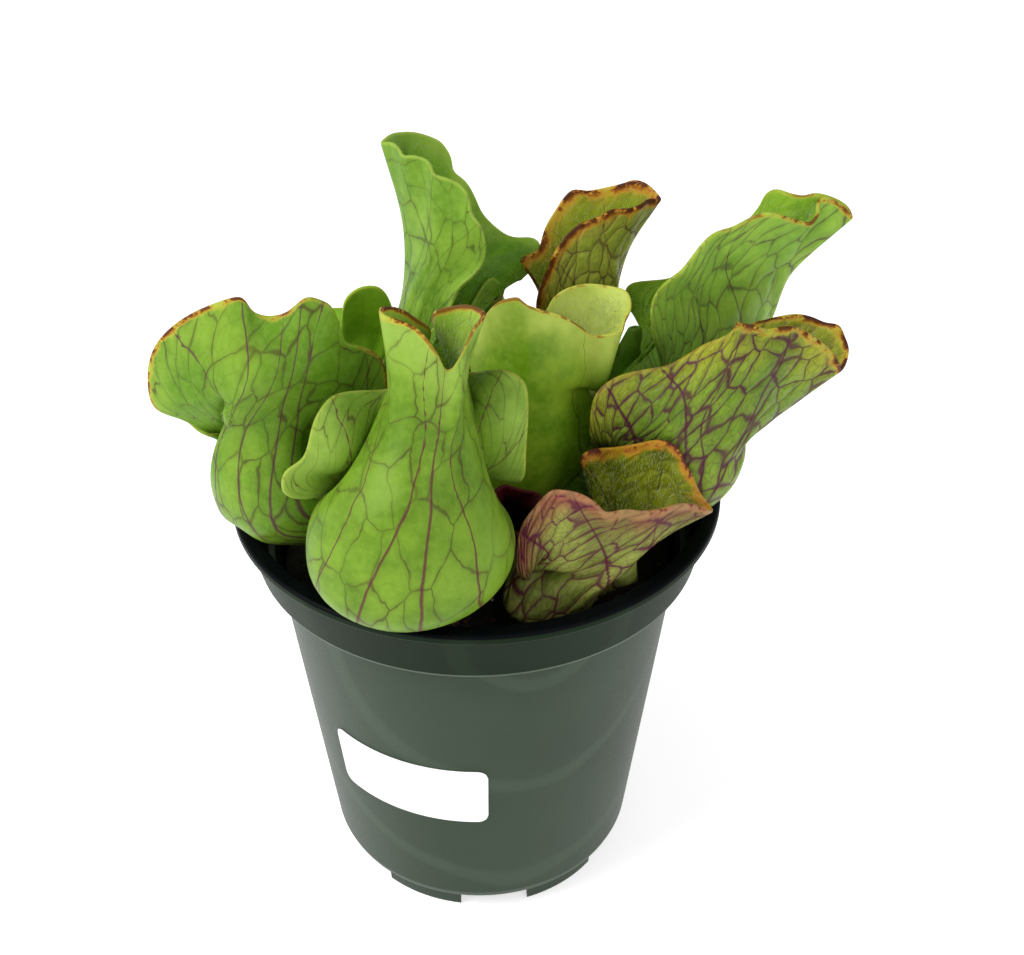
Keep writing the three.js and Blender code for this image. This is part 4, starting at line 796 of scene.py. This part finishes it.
def label_film(name):
    """Coated white polypropylene film: smooth, faintly glossy, its white faintly clouded."""
    made, tree = started(name)
    place = add(tree, "ShaderNodeTexCoord", output="Object")
    clouds = add(tree, "ShaderNodeTexNoise", {"Vector": place, "Scale": FILM_CLOUDS, "Detail": 2.0})
    body = add(tree, "ShaderNodeMix", {0: clouds, 6: colour("#fbfbfa"), 7: colour("#f2f3f1")}, **MIXED)
    fibre = add(tree, "ShaderNodeTexNoise", {"Vector": place, "Scale": FILM_FIBRES, "Detail": 3.0})
    normal = add(tree, "ShaderNodeBump", {"Height": fibre, "Strength": 0.08, "Distance": 0.03 * MM})
    skin = add(tree, "ShaderNodeBsdfPrincipled", {
        "Base Color": body, "Roughness": 0.38, "Normal": normal, "IOR": 1.49})
    add(tree, "ShaderNodeOutputMaterial", {"Surface": skin})
    return made


def earthy(name, dark, light, scale, rough, relief_mm):
    """Dull natural stuff, such as damp peat, bark, perlite or a rhizome's scales: broken in tone, pitted."""
    made, tree = started(name)
    place = add(tree, "ShaderNodeTexCoord", output="Object")
    tone, pits = [add(tree, "ShaderNodeTexNoise", {
        "Vector": place, "Scale": fineness, "Detail": detail, "Roughness": 0.7})
        for fineness, detail in ((scale, 5.0), (scale * 4, 4.0))]
    share = add(tree, "ShaderNodeMapRange", (tone, 0.35, 0.68, 0.0, 1.0), **SMOOTH)
    body = add(tree, "ShaderNodeMix", {0: share, 6: colour(dark), 7: colour(light)}, **MIXED)
    normal = add(tree, "ShaderNodeBump", {"Height": pits, "Strength": 0.8, "Distance": relief_mm * MM})
    skin = add(tree, "ShaderNodeBsdfPrincipled", {
        "Base Color": body, "Roughness": rough, "Normal": normal})
    add(tree, "ShaderNodeOutputMaterial", {"Surface": skin})
    return made


def hair_finish(name, code):
    """Leaf hairs: thin clear cells that catch the light."""
    made, tree = started(name)
    skin = add(tree, "ShaderNodeBsdfPrincipled", {
        "Base Color": colour(code), "Roughness": 0.4, "Transmission Weight": 0.25, "Sheen Weight": 0.4})
    add(tree, "ShaderNodeOutputMaterial", {"Surface": skin})
    return made


def ride_for(piece, nodes):
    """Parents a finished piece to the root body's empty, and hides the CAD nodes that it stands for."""
    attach(piece, "root")
    if nodes:
        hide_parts(*nodes)


def folded(net, angles, shares, folds):
    """Presses folds into a leaf: each has its place round and up it, its spread in both, and its height."""
    out = np.zeros(net.shape[:2])
    for turn, up, wide, tall, height in folds:
        across = np.exp(-(((angles - turn + 180) % 360 - 180) / wide) ** 2)
        out += height * np.exp(-((shares - up) / tall) ** 2)[:, None] * across
    return net + net_normals(net) * out[..., None]


def build_pitcher(name, leaf):
    """One leaf: outer skin, inner skin and a rounded lip between them, with its veins' lanes in a UV map."""
    count, rows = SMALL_NET if name in SMALL_LEAVES or name not in SLOTS else BIG_NET
    net, angles, shares = leaf_net(leaf, count, rows)
    net = folded(net, angles, shares, FOLDS.get(name, ()))
    normals = net_normals(net)
    first = int(np.searchsorted(shares, STALK_SHARE))
    deep = np.minimum(LEAF_WALL, LEAF_WALL * smoothstep(0, 0.12, shares - STALK_SHARE) + 0.25)
    inner = net - normals * deep[:, None, None]
    to_rim = np.zeros((rows, count))
    steps = np.linalg.norm(np.diff(net, axis=0), axis=2)
    to_rim[:-1] = np.cumsum(steps[::-1], axis=0)[::-1]

    # The lip: a half round between the two skins, a little beyond the rim
    beyond = unit(net[-1] - net[-3])
    middle = (net[-1] + inner[-1]) / 2
    lips = [middle + (LEAF_WALL / 2) * (math.cos(t) * normals[-1] + math.sin(t) * beyond)
            for t in (math.pi / 4, math.pi / 2, 3 * math.pi / 4)]
    layers = [*net, *lips, *inner[first:][::-1]]
    points = np.concatenate(layers + [[net[0].mean(axis=0)], [inner[first].mean(axis=0)]]) * MM
    outside_bands = rows + len(lips) - 2
    kinds = np.repeat([0, 1, 0, 1], np.array([outside_bands, len(layers) - 1 - outside_bands, 1, 1]) * count)
    look = LOOKS[name]
    within = {**look, **INSIDES.get(name, {})}
    skins = [leaf_finish(name + "_skin", look, False), leaf_finish(name + "_throat", within, True)]
    piece = new_object(name + "_leaf", points, ring_faces(count, len(layers)), skins, kinds)

    # What the finish reads: distance from the rim, share of the length, tinge, and the veins' lanes; the
    # two points that close the ends count as far from the rim
    inner_rows = list(range(first, rows))[::-1]
    far = [90.0, 90.0]
    rim_mm = np.concatenate([*to_rim, *np.zeros((len(lips), count)), *to_rim[inner_rows], far])
    share = np.concatenate([np.repeat(shares, count), np.ones(len(lips) * count),
                            np.repeat(shares[inner_rows], count), [0.0, 0.0]])
    round_at, tinges = np.transpose(TINGED.get(name, [(-180, 0.3), (180, 0.3)]))
    tinge = np.append(np.tile(np.interp(angles, round_at, tinges), len(layers)), [0.0, 0.0])
    for key, values in (("rim_mm", rim_mm), ("share", share), ("tinge", tinge)):
        piece.data.attributes.new(key, "FLOAT", "POINT").data.foreach_set("value", values.astype(np.float32))
    turns = np.linspace(-180, 180, count + 1)
    lanes, gaps = vein_lanes(turns, shares, VEINS.get(name, even_veins(8)))
    closed = np.concatenate([net, net[:, :1]], axis=1)
    round_mm, up_mm = np.zeros((rows, count + 1)), np.zeros((rows, count + 1))
    round_mm[:, 1:] = np.cumsum(np.linalg.norm(np.diff(closed, axis=1), axis=2), axis=1)
    up_mm[1:] = np.cumsum(np.linalg.norm(np.diff(closed, axis=0), axis=2), axis=0)
    up_mm = 0.35 * up_mm + 0.65 * up_mm.mean(axis=1, keepdims=True)
    gap_mm = gaps * round_mm[:, -1:] / 360
    round_mm -= round_mm[:, count // 2:count // 2 + 1]
    row_of = np.array([*range(rows), *[rows - 1] * len(lips), *inner_rows])
    low, high, j = row_of[:-1], row_of[1:], np.arange(count)
    row_at = np.stack([low, low, high, high], 1)[:, None, :].repeat(count, 1)
    column = np.stack([j, j + 1, j + 1, j], 1)[None].repeat(len(low), 0)
    for map_name, across, up in (("Veins", lanes, gap_mm), ("Surface", round_mm, up_mm)):
        corners = np.zeros((len(piece.data.loops), 2), np.float32)
        read = np.stack([across[row_at, column], up[row_at, column]], -1).reshape(-1, 2)
        corners[:len(read)] = read
        piece.data.uv_layers.new(name=map_name).data.foreach_set("uv", corners.ravel())
    ride_for(piece, (name,) if name in SLOTS else ())
    return net, inner, normals, shares, to_rim


def scatter_tree(name):
    """Geometry Nodes: instances of a small shape on a bed's faces, denser where the bed's hairy is high,
    turned along the bed's own way, then made real and given a material."""
    tree = bpy.data.node_groups.new(name, "GeometryNodeTree")
    face = tree.interface
    face.new_socket("Geometry", in_out="INPUT", socket_type="NodeSocketGeometry")
    for label, kind in (("Density", "NodeSocketFloat"), ("Length", "NodeSocketFloat"),
                        ("Width", "NodeSocketFloat"), ("Seed", "NodeSocketInt"),
                        ("Shape", "NodeSocketObject"), ("Material", "NodeSocketMaterial")):
        face.new_socket(label, in_out="INPUT", socket_type=kind)
    face.new_socket("Geometry", in_out="OUTPUT", socket_type="NodeSocketGeometry")
    given = tree.nodes.new("NodeGroupInput").outputs
    hairy = add(tree, "GeometryNodeInputNamedAttribute", {0: "hairy"}, data_type="FLOAT")
    way = add(tree, "GeometryNodeInputNamedAttribute", {0: "way"}, data_type="FLOAT_VECTOR")
    density = add(tree, "ShaderNodeMath", (given["Density"], hairy), **TIMES)
    spread = tree.nodes.new("GeometryNodeDistributePointsOnFaces")
    tree.links.new(given["Geometry"], spread.inputs["Mesh"])
    tree.links.new(density, spread.inputs["Density"])
    tree.links.new(given["Seed"], spread.inputs["Seed"])
    jitter = add(tree, "FunctionNodeRandomValue", {0: (-0.35, -0.35, -0.35), 1: (0.35, 0.35, 0.35), 8: 3},
                 data_type="FLOAT_VECTOR")
    aim = add(tree, "ShaderNodeVectorMath", (way, jitter), operation="ADD")
    turned = add(tree, "FunctionNodeAlignRotationToVector", {"Vector": aim}, axis="Z")
    size = add(tree, "FunctionNodeRandomValue", {2: 0.55, 3: 1.25, 8: 5}, output=1, data_type="FLOAT")
    long = add(tree, "ShaderNodeMath", (given["Length"], size), **TIMES)
    wide = add(tree, "ShaderNodeMath", (given["Width"], size), **TIMES)
    scale = add(tree, "ShaderNodeCombineXYZ", (wide, wide, long))
    shape = add(tree, "GeometryNodeObjectInfo", {"Object": given["Shape"]}, output="Geometry")
    placed = add(tree, "GeometryNodeInstanceOnPoints", {
        "Points": spread.outputs["Points"], "Instance": shape, "Rotation": turned, "Scale": scale})
    real = add(tree, "GeometryNodeRealizeInstances", {"Geometry": placed})
    done = add(tree, "GeometryNodeSetMaterial", {"Geometry": real, "Material": given["Material"]})
    out = tree.nodes.new("NodeGroupOutput")
    tree.links.new(done, out.inputs["Geometry"])
    return tree


def scattered(name, bed, tree, **values):
    """Runs the tree on the bed and keeps the result as a plain mesh; the bed goes."""
    modifier = bed.modifiers.new("scatter", "NODES")
    modifier.node_group = tree
    for item in tree.interface.items_tree:
        if item.in_out == "INPUT" and item.name in values:
            modifier[item.identifier] = values[item.name]
    bpy.context.view_layer.update()
    mesh = bpy.data.meshes.new_from_object(bed.evaluated_get(bpy.context.evaluated_depsgraph_get()))
    mesh.name = name
    bpy.data.objects.remove(bed)
    piece = bpy.data.objects.new(name, mesh)
    bpy.context.scene.collection.objects.link(piece)
    return piece


def hair_shape():
    """One hair: a three-sided spike that curves over, one unit high."""
    rings = [(0.0, 1.0, 0.0), (0.45, 0.7, 0.06), (0.8, 0.4, 0.22)]
    points = [(r * math.cos(2 * math.pi * k / 3) + x, r * math.sin(2 * math.pi * k / 3), z)
              for z, r, x in rings for k in range(3)]
    points.append((0.42, 0.0, 1.0))
    faces = [(3 * i + k, 3 * i + (k + 1) % 3, 3 * i + 3 + (k + 1) % 3, 3 * i + 3 + k)
             for i in (0, 1) for k in range(3)]
    faces += [(6 + k, 6 + (k + 1) % 3, 9) for k in range(3)] + [(2, 1, 0)]
    return new_object("hair_shape", points, faces)


def hair_bed(name, net, way, hairy):
    """A strip of a leaf's skin as a bed for hairs."""
    rows, count = net.shape[:2]
    bed = new_object(name, net.reshape(-1, 3) * MM, ring_faces(count, rows, closed=False))
    for key, kind, part, values in (
            ("hairy", "FLOAT", "value", hairy), ("way", "FLOAT_VECTOR", "vector", way)):
        marks = bed.data.attributes.new(key, kind, "POINT")
        marks.data.foreach_set(part, values.ravel().astype(np.float32))
    return bed


def rounded(corners, radius):
    """A profile with each corner turned in a small arc."""
    points = []
    for i, corner in enumerate(corners):
        here = np.array(corner, float)
        if i in (0, len(corners) - 1):
            points.append(here)
            continue
        before, after = np.array(corners[i - 1], float) - here, np.array(corners[i + 1], float) - here
        reach = min(radius, np.linalg.norm(before) * 0.45, np.linalg.norm(after) * 0.45)
        start = here + before / np.linalg.norm(before) * reach
        end = here + after / np.linalg.norm(after) * reach
        points += [(1 - t) ** 2 * start + 2 * t * (1 - t) * here + t * t * end for t in (0, 0.33, 0.67, 1)]
    return points


def body_radius(z):
    """The outside of the pot's tapered wall at a height."""
    share = (z - BODY_FOOT_Z) / (COLLAR_FOOT_Z - BODY_FOOT_Z)
    return BODY_FOOT_RADIUS + share * (BODY_TOP_RADIUS - BODY_FOOT_RADIUS)


def box_at(name, low, high, turn):
    """A box between two corners, turned round the pot's axis."""
    points = [(x, y, z) for z in (low[2], high[2]) for y in (low[1], high[1]) for x in (low[0], high[0])]
    spun = [(x * math.cos(turn) - y * math.sin(turn), x * math.sin(turn) + y * math.cos(turn), z)
            for x, y, z in points]
    faces = [(0, 2, 3, 1), (4, 5, 7, 6), (0, 1, 5, 4), (2, 6, 7, 3), (0, 4, 6, 2), (1, 3, 7, 5)]
    return new_object(name, np.array(spun) * MM, faces, smooth=False)


def build_pot():
    """The pot turned from its profile, with its foot notched and its floor drained as the CAD's is."""
    outside = [(0, 0), (20, 0), (21.5, 3.2), (33.6, 4.2), (33.9, 0), (35.9, 0), (36.2, 4.6), (38, 5.8),
               (BODY_FOOT_RADIUS, BODY_FOOT_Z), (BODY_TOP_RADIUS, COLLAR_FOOT_Z), (52.3, COLLAR_FOOT_Z),
               (52.7, 93.5), (55.45, 105.2), (56.65, 105.5), (RIM_RADIUS, 106.1), (RIM_RADIUS, 107.7),
               (56.65, POT_HEIGHT)]
    inside = [(53.65, POT_HEIGHT), (53.25, 107.6), (51.4, 93.5), (BODY_TOP_RADIUS - WALL, 91.6),
              (BODY_FOOT_RADIUS - WALL, BODY_FOOT_Z), (36.4, 6.4), (22.5, 5.2), (19.6, FLOOR_Z),
              (0, FLOOR_Z)]
    profile = rounded(outside + inside, 0.5)
    rings = [p for p in profile if p[0] > 0]
    turn = turns_round(POT_SIDES)
    rows = [np.stack([radius * np.cos(turn), radius * np.sin(turn), np.full(POT_SIDES, z)], 1)
            for radius, z in rings]
    points = np.concatenate([*rows, [(0, 0, 0), (0, 0, FLOOR_Z)]]) * MM
    edge, lip = [next(i for i, p in enumerate(rings) if p[1] > z) for z in (CREASE_HIGHLIGHT_FROM_Z, LIP_FROM_Z)]
    collar = next(i for i, p in enumerate(rings) if p[1] > COLLAR_FROM_Z) - 1
    finishes = [pot_plastic("satin_green_polypropylene", "#263525", "#2f3f2d", "#465644", 0.42, 0.16),
                # a lighter band at the collar's crease: a painted highlight
                pot_plastic("crease_painted_highlight_polypropylene", "#3e4e3b", "#4c5b48", "#4c5c4a", 0.4, 0.2),
                # the collar, darker than the body: painted shade where it faces down
                pot_plastic("collar_painted_shade_polypropylene", "#101f0f", "#162815", "#243522", 0.45, 0.06),
                # the lip, near black, and the same finish over the whole inside: painted shade
                pot_plastic("lip_and_inside_painted_shade_polypropylene", "#020506", "#06090c", "#0b0f12", 0.42, 0.05)]
    # Bands of faces: the body, the crease's painted highlight, the collar's painted shade, then the lip's
    # painted shade on over the inside wall and floor; the foot's cap is body, and the inner floor's cap
    # takes the lip's painted shade
    bands = np.array([edge, collar - edge, lip - collar, len(rings) - 1 - lip, 1, 1])
    kinds = np.repeat([0, 1, 2, 3, 0, 3], bands * POT_SIDES)
    pot = new_object("nursery_pot", points, ring_faces(POT_SIDES, len(rings)), finishes, kinds)
    cutters = []
    for i in range(FEET):
        spin = NOTCH_TURN + i * 2 * math.pi / FEET
        cutters.append(box_at(f"notch_{i}", *NOTCH_BOX, spin))
        cutters.append(box_at(f"drain_{i}", *DRAIN_BOX, spin))
    for cutter in cutters:
        cut = pot.modifiers.new("cut", "BOOLEAN")
        cut.operation = "DIFFERENCE"
        cut.solver = "EXACT"
        cut.object = cutter
    bpy.context.view_layer.update()
    mesh = bpy.data.meshes.new_from_object(pot.evaluated_get(bpy.context.evaluated_depsgraph_get()))
    pot.modifiers.clear()
    pot.data = mesh
    for cutter in cutters:
        bpy.data.objects.remove(cutter)
    mesh.set_sharp_from_angle(angle=math.radians(38))
    ride_for(pot, [node for node, slot in SLOTS.items() if slot == "pot"])


def build_label():
    """The blank label: a thin film bent round the wall, its corners rounded."""
    count, rows, half_width = 97, 9, LABEL_WIDTH / 2
    across = np.linspace(-half_width, half_width, count)
    turn = LABEL_MIDDLE + across / body_radius((LABEL_LOW_Z + LABEL_HIGH_Z) / 2)
    into = np.maximum(np.abs(across) - (half_width - LABEL_CORNER), 0)
    cut = LABEL_CORNER - np.sqrt(np.maximum(LABEL_CORNER**2 - into**2, 0)) * 0.98
    layers = []
    for off in LABEL_FACES:
        for share in np.linspace(0, 1, rows):
            z = (LABEL_LOW_Z + cut) * (1 - share) + (LABEL_HIGH_Z - cut) * share
            radius = body_radius(z) + off
            layers.append(np.stack([radius * np.cos(turn), radius * np.sin(turn), z], 1))
    outer, top = rows * count, (rows - 1) * count
    faces = []
    for k in range(count - 1):
        for a in range(k, top, count):
            b = a + count
            faces += [(a, b, b + 1, a + 1), (outer + a, outer + a + 1, outer + b + 1, outer + b)]
        faces += [(k, k + 1, outer + k + 1, outer + k),
                  (top + k, outer + top + k, outer + top + k + 1, top + k + 1)]
    for a in range(0, top, count):
        b, last = a + count, count - 1
        faces += [(a, outer + a, outer + b, b), (a + last, b + last, outer + b + last, outer + a + last)]
    label = new_object("blank_label", np.concatenate(layers) * MM, faces, [label_film("coated_white_film")])
    label.data.set_sharp_from_angle(angle=math.radians(40))
    ride_for(label, ("label",))


def mix_height(x, y):
    """The mix's lumpy top, a little lower towards the wall."""
    lumps = 0.7 * np.sin(0.31 * x + 1) * np.cos(0.27 * y) + 0.4 * np.sin(0.53 * x - 0.41 * y + 2)
    return MIX_TOP_Z + lumps - 1.2 * (np.hypot(x, y) / BODY_TOP_RADIUS) ** 4


def build_mix():
    """Peat with its lumpy top."""
    sides, top_radius = 144, body_radius(MIX_TOP_Z) - WALL - MIX_GAP
    turn = turns_round(sides)
    rng = np.random.default_rng(7)
    layers = []
    for radius, z in MIX_FOOT:
        layers.append(np.stack([radius * np.cos(turn), radius * np.sin(turn), np.full(sides, z)], 1))
    for share in np.linspace(1, 0.03, 44):
        x, y = top_radius * share * np.cos(turn), top_radius * share * np.sin(turn)
        rough = rng.normal(0, 0.22, sides) * (share > 0.1)
        layers.append(np.stack([x, y, mix_height(x, y) + rough], 1))
    points = np.concatenate([*layers, [(0, 0, MIX_FOOT[0][1]), (0, 0, mix_height(0.0, 0.0))]]) * MM
    mix = new_object("peat_mix", points, ring_faces(sides, len(layers)),
                     [earthy("damp_peat", "#0e0b09", "#2c221a", 420, 0.9, 0.5)])
    ride_for(mix, ("potting_mix",))


def build_crumbs(tree):
    """Crumbs of peat, bark chips and perlite lying in the mix's top."""
    top_radius = body_radius(MIX_TOP_Z) - WALL - CRUMBS_OFF_WALL
    turn = turns_round(48)
    rings = []
    for share in np.linspace(1, 0.3, 10):
        x, y = top_radius * share * np.cos(turn), top_radius * share * np.sin(turn)
        rings.append(np.stack([x, y, mix_height(x, y)], 1))
    net = np.array(rings)
    for name, stuff, scale, seed, density, size_mm in (
            ("peat_crumbs", ("#17110c", "#3a2c20", 900, 0.9, 0.2), (1.0, 0.75), 3, 130000, 1.0),
            ("bark_chips", ("#2c1c12", "#5b3d28", 500, 0.75, 0.3), (0.45, 0.9), 11, 16000, 2.3),
            ("perlite_bits", ("#c9c7bf", "#efeee8", 900, 0.8, 0.2), (0.9, 0.8), 23, 7000, 1.1)):
        bed = hair_bed(name + "_bed", net, np.tile([0.25, 0.1, 1.0], (*net.shape[:2], 1)),
                       np.ones(net.shape[:2]))
        lump = bpy.data.meshes.new("lump")
        ball = bmesh.new()
        bmesh.ops.create_icosphere(ball, subdivisions=1, radius=0.5)
        for v in ball.verts:
            v.co *= 1 + 0.3 * math.sin(7 * v.co.x + 5 * v.co.y + seed)
        ball.to_mesh(lump)
        ball.free()
        shape = bpy.data.objects.new("lump_" + name, lump)
        bpy.context.scene.collection.objects.link(shape)
        finish = earthy(name + "_finish", *stuff)
        piece = scattered(name, bed, tree, Shape=shape, Density=float(density), Seed=seed, Material=finish,
                          Length=size_mm * scale[0] * MM, Width=size_mm * scale[1] * MM)
        bpy.data.objects.remove(shape)
        ride_for(piece, ())


def build_rhizome():
    """The crown: the CAD's knobbly dome with overlapping scales left by old leaf stalks."""
    sides, rows = 120, 60
    turn, rings = turns_round(sides), []
    for tilt in math.pi * np.arange(1, rows) / rows:
        z = -math.cos(tilt)
        knob = 1 - 0.05 * (1 - z) * (1 + np.sin(5 * turn + 3 * z))
        scale = 1 - 0.035 * np.abs(np.sin(9 * turn + 6 * z)) - 0.02 * np.abs(np.sin(14 * z - 3 * turn))
        radius = RHIZOME_RADIUS * knob * scale * math.sin(tilt)
        heights = RHIZOME_HALF_HEIGHT * scale * z
        rings.append(np.stack([radius * np.cos(turn), radius * np.sin(turn), heights], 1))
    ends = [(0, 0, -RHIZOME_HALF_HEIGHT), (0, 0, RHIZOME_HALF_HEIGHT)]
    points = (np.concatenate([*rings, ends]) + RHIZOME_CENTRE) * MM
    crown = new_object("rhizome_crown", points, ring_faces(sides, len(rings)),
                       [earthy("scaly_rhizome", "#2e1c10", "#6d4a2c", 260, 0.7, 0.4)])
    ride_for(crown, ("rhizome",))


SLOTS = {part["node"]: part["material_slot"] for part in frame["record"]["subparts"]}

# The long veins that the photo shows, each as places up the leaf and angles round it from its back;
# one runs down the seam of the unrolled surface at the leaf's front
VEINS = {
    "pitcher_front": [
        [(0, -180), (1, -180)], [(0, -120), (0.6, -128), (0.88, -130), (1, -117)],
        [(0, -90), (0.6, -98), (0.88, -122), (0.95, -106), (1, -100)],
        [(0, -50), (0.5, -66), (0.66, -57), (0.72, -60), (0.8, -68), (1, -50)],
        [(0, -30), (0.5, -33), (0.6, -25), (0.68, -14), (1, -22)],
        [(0, 0), (0.6, 2), (0.75, 2), (0.9, -6), (1, -5)],
        [(0, 30), (0.54, 36), (0.66, 32), (0.72, 24), (1, 24)],
        [(0, 50), (0.54, 75), (0.64, 80), (0.74, 86), (0.82, 68), (1, 52)],
        [(0, 100), (0.6, 110), (0.88, 122), (1, 112)], [(0, 130), (0.6, 140), (0.9, 146), (1, 138)],
    ],
    "pitcher_left": [
        [(0, -180), (1, -180)], [(0, -110), (0.6, -112), (0.86, -117), (0.92, -92), (1, -84)],
        [(0, -75), (0.6, -80), (0.85, -62), (1, -60)],
        [(0, -42), (0.6, -46), (0.7, -48), (0.8, -39), (1, -34)],
        [(0, -18), (0.55, -22), (0.62, -15), (0.8, -22), (1, -24)],
        [(0, 0), (0.6, 2), (0.7, 5), (0.78, -3), (0.9, -12), (1, -12)],
        [(0, 45), (1, 45)], [(0, 90), (1, 90)], [(0, 135), (1, 135)],
    ],
    "pitcher_right_netted": [
        [(0, -180), (1, -180)], [(0, -140), (1, -145)], [(0, -90), (0.7, -100), (0.84, -111), (1, -122)],
        [(0, -70), (0.7, -85), (0.8, -92), (0.86, -78), (1, -70)],
        [(0, -30), (0.48, -38), (0.58, -57), (0.7, -58), (0.76, -48), (0.85, -36), (1, -36)],
        [(0, 0), (1, 0)], [(0, 45), (1, 45)], [(0, 90), (1, 90)], [(0, 135), (1, 135)],
    ],
    "pitcher_right_tall": [
        [(0, -180), (1, -180)], [(0, -120), (0.8, -122), (0.88, -118), (0.94, -93), (1, -80)],
        [(0, -60), (0.76, -63), (0.85, -72), (0.92, -75), (1, -60)], [(0, 0), (1, 0)],
        [(0, 60), (1, 60)], [(0, 120), (1, 120)],
    ],
    "pitcher_centre": [
        [(0, -180), (1, -180)], [(0, 20), (0.37, 21), (0.55, 0), (0.89, -12), (1, -12)],
    ],
    "pitcher_front_red": [
        [(0, -180), (1, -180)], [(0, -100), (1, -120)],
        [(0, -6), (0.61, -6), (0.76, -48), (0.89, -72), (1, -81)],
        [(0, 10), (0.7, 0), (0.83, -18), (1, -30)], [(0, 60), (1, 60)], [(0, 120), (1, 120)],
    ],
}

# Folds and furrows that the photo shows, as degrees round the leaf, place up it, spread in each, and mm
FOLDS = {
    "pitcher_front": [(-122, 0.78, 14, 0.05, -3.5), (-128, 0.93, 16, 0.08, 3.5), (0, 0.44, 60, 0.06, 3.0)],
    "pitcher_left": [(40, 0.63, 20, 0.08, -6.5), (-120, 0.86, 10, 0.03, -2.0)],
    "pitcher_right_netted": [(-12, 0.69, 45, 0.03, -2.0)],
    "pitcher_centre": [(15, 0.68, 8, 0.4, 3.2)],
    "pitcher_front_red": [
        (-20, 0.68, 12, 0.12, 2.0), (8, 0.6, 14, 0.1, -3.0), (38, 0.62, 20, 0.07, 4.5),
        (-85, 0.52, 35, 0.05, 4.0), (-88, 0.66, 24, 0.035, -7.0), (-140, 0.93, 25, 0.1, 3.0)],
}

# A young leaf that hasn't opened yet, between the red one at the back and the tall one on the right
UNOPENED = dict(
    back=0, slant=0.0,
    tube=[(13.5, 8, 92, 2.2, 2.2), (20, 13, 96, 2.5, 2.5), (28, 19, 100, 3, 3.6), (34, 23.5, 107, 3.6, 4.6),
          (37, 25.2, 116, 3.8, 5), (38.4, 26, 125, 3.2, 4.6)],
    mid=[(0, 42.4, 26, 130.5), (90, 38.8, 28.2, 130.5), (180, 35.2, 26, 130.5), (-90, 38.8, 23.8, 130.5)],
    rim=[(0, 40.8, 26, 133.4), (90, 39, 27.2, 133.4), (180, 37.2, 26, 133.4), (-90, 39, 24.8, 133.4)])

build_pot()
build_label()
build_mix()
build_rhizome()
scatter = scatter_tree("scatter")
build_crumbs(scatter)
build_pitcher("unopened_pitcher", UNOPENED)
spike = hair_shape()
for pitcher, leaf in PITCHERS.items():
    outer, inner, normals, shares, to_rim = build_pitcher(pitcher, leaf)
    if pitcher in SMALL_LEAVES:
        continue
    start = int(np.searchsorted(shares, HAIRY_FROM_SHARE))
    down = unit(-np.gradient(inner, axis=0))
    way = -normals * 0.6 + down * 0.8
    hairy = smoothstep(0.8, 3.0, to_rim) * smoothstep(HAIRY_FROM_SHARE, 0.75, shares)[:, None]
    bed = hair_bed(pitcher + "_bed", inner[start:], way[start:], hairy[start:])
    crowd = DENSE_HAIRS_PER_SQUARE_METRE if pitcher == "pitcher_centre" else HAIRS_PER_SQUARE_METRE
    clear_cells = hair_finish(pitcher + "_hair", "#d6e6a0")
    hairs = scattered(pitcher + "_hairs", bed, scatter, Shape=spike, Density=crowd, Length=HAIR_LENGTH,
                      Width=HAIR_WIDTH, Seed=len(pitcher), Material=clear_cells)
    ride_for(hairs, ())
bpy.data.objects.remove(spike)

# The stage: a pale floor, soft light from a bright room and a large lamp high on the left
floor_mesh = new_object("floor", [(-4, -4, 0), (4, -4, 0), (4, 4, 0), (-4, 4, 0)], [(0, 1, 2, 3)])
floor_finish, floor_tree = started("pale_paper_sweep")
floor_skin = add(floor_tree, "ShaderNodeBsdfPrincipled", {
    "Base Color": colour("#e4e4e4"), "Roughness": 0.8, "Emission Color": colour("#ffffff"),
    "Emission Strength": 0.6})
add(floor_tree, "ShaderNodeOutputMaterial", {"Surface": floor_skin})
floor_mesh.data.materials.append(floor_finish)

# The room is brighter near the horizon than overhead
world = bpy.data.worlds.new("bright_room")
bpy.context.scene.world = world
world.use_nodes = True
sky = add(world.node_tree, "ShaderNodeTexCoord", output="Generated")
height = add(world.node_tree, "ShaderNodeSeparateXYZ", {0: sky}, 2)
glow = add(world.node_tree, "ShaderNodeMapRange", (height, 0.15, 0.7, 0.85, 0.4), **SMOOTH)
world.node_tree.links.new(glow, world.node_tree.nodes["Background"].inputs["Strength"])
world.node_tree.nodes["Background"].inputs["Color"].default_value = (1.0, 1.0, 1.0, 1.0)


def lamp(name, place, size, power):
    light = bpy.data.lights.new(name, "AREA")
    light.shape = "DISK"
    light.size = size
    light.energy = power
    holder = bpy.data.objects.new(name, light)
    holder.location = place
    holder.rotation_euler = (Vector((0, 0, 0.1)) - Vector(place)).to_track_quat("-Z", "Y").to_euler()
    bpy.context.scene.collection.objects.link(holder)


lamp("key_lamp", (-0.75, -0.3, 0.95), size=0.7, power=11.0)
lamp("fill_lamp", (0.5, -0.8, 0.8), size=0.9, power=3.0)

lens = bpy.data.cameras.new("camera")
lens.lens = CAMERA_LENS
lens.sensor_width = 36.0
lens.clip_start = 0.01
camera = bpy.data.objects.new("camera", lens)
camera.location = CAMERA_PLACE
level = math.cos(CAMERA_PITCH)
ahead = Vector((math.sin(CAMERA_PAN) * level, math.cos(CAMERA_PAN) * level, -math.sin(CAMERA_PITCH)))
camera.rotation_euler = ahead.to_track_quat("-Z", "Y").to_euler()
bpy.context.scene.collection.objects.link(camera)
bpy.context.scene.camera = camera
bpy.context.scene.view_settings.view_transform = "Standard"
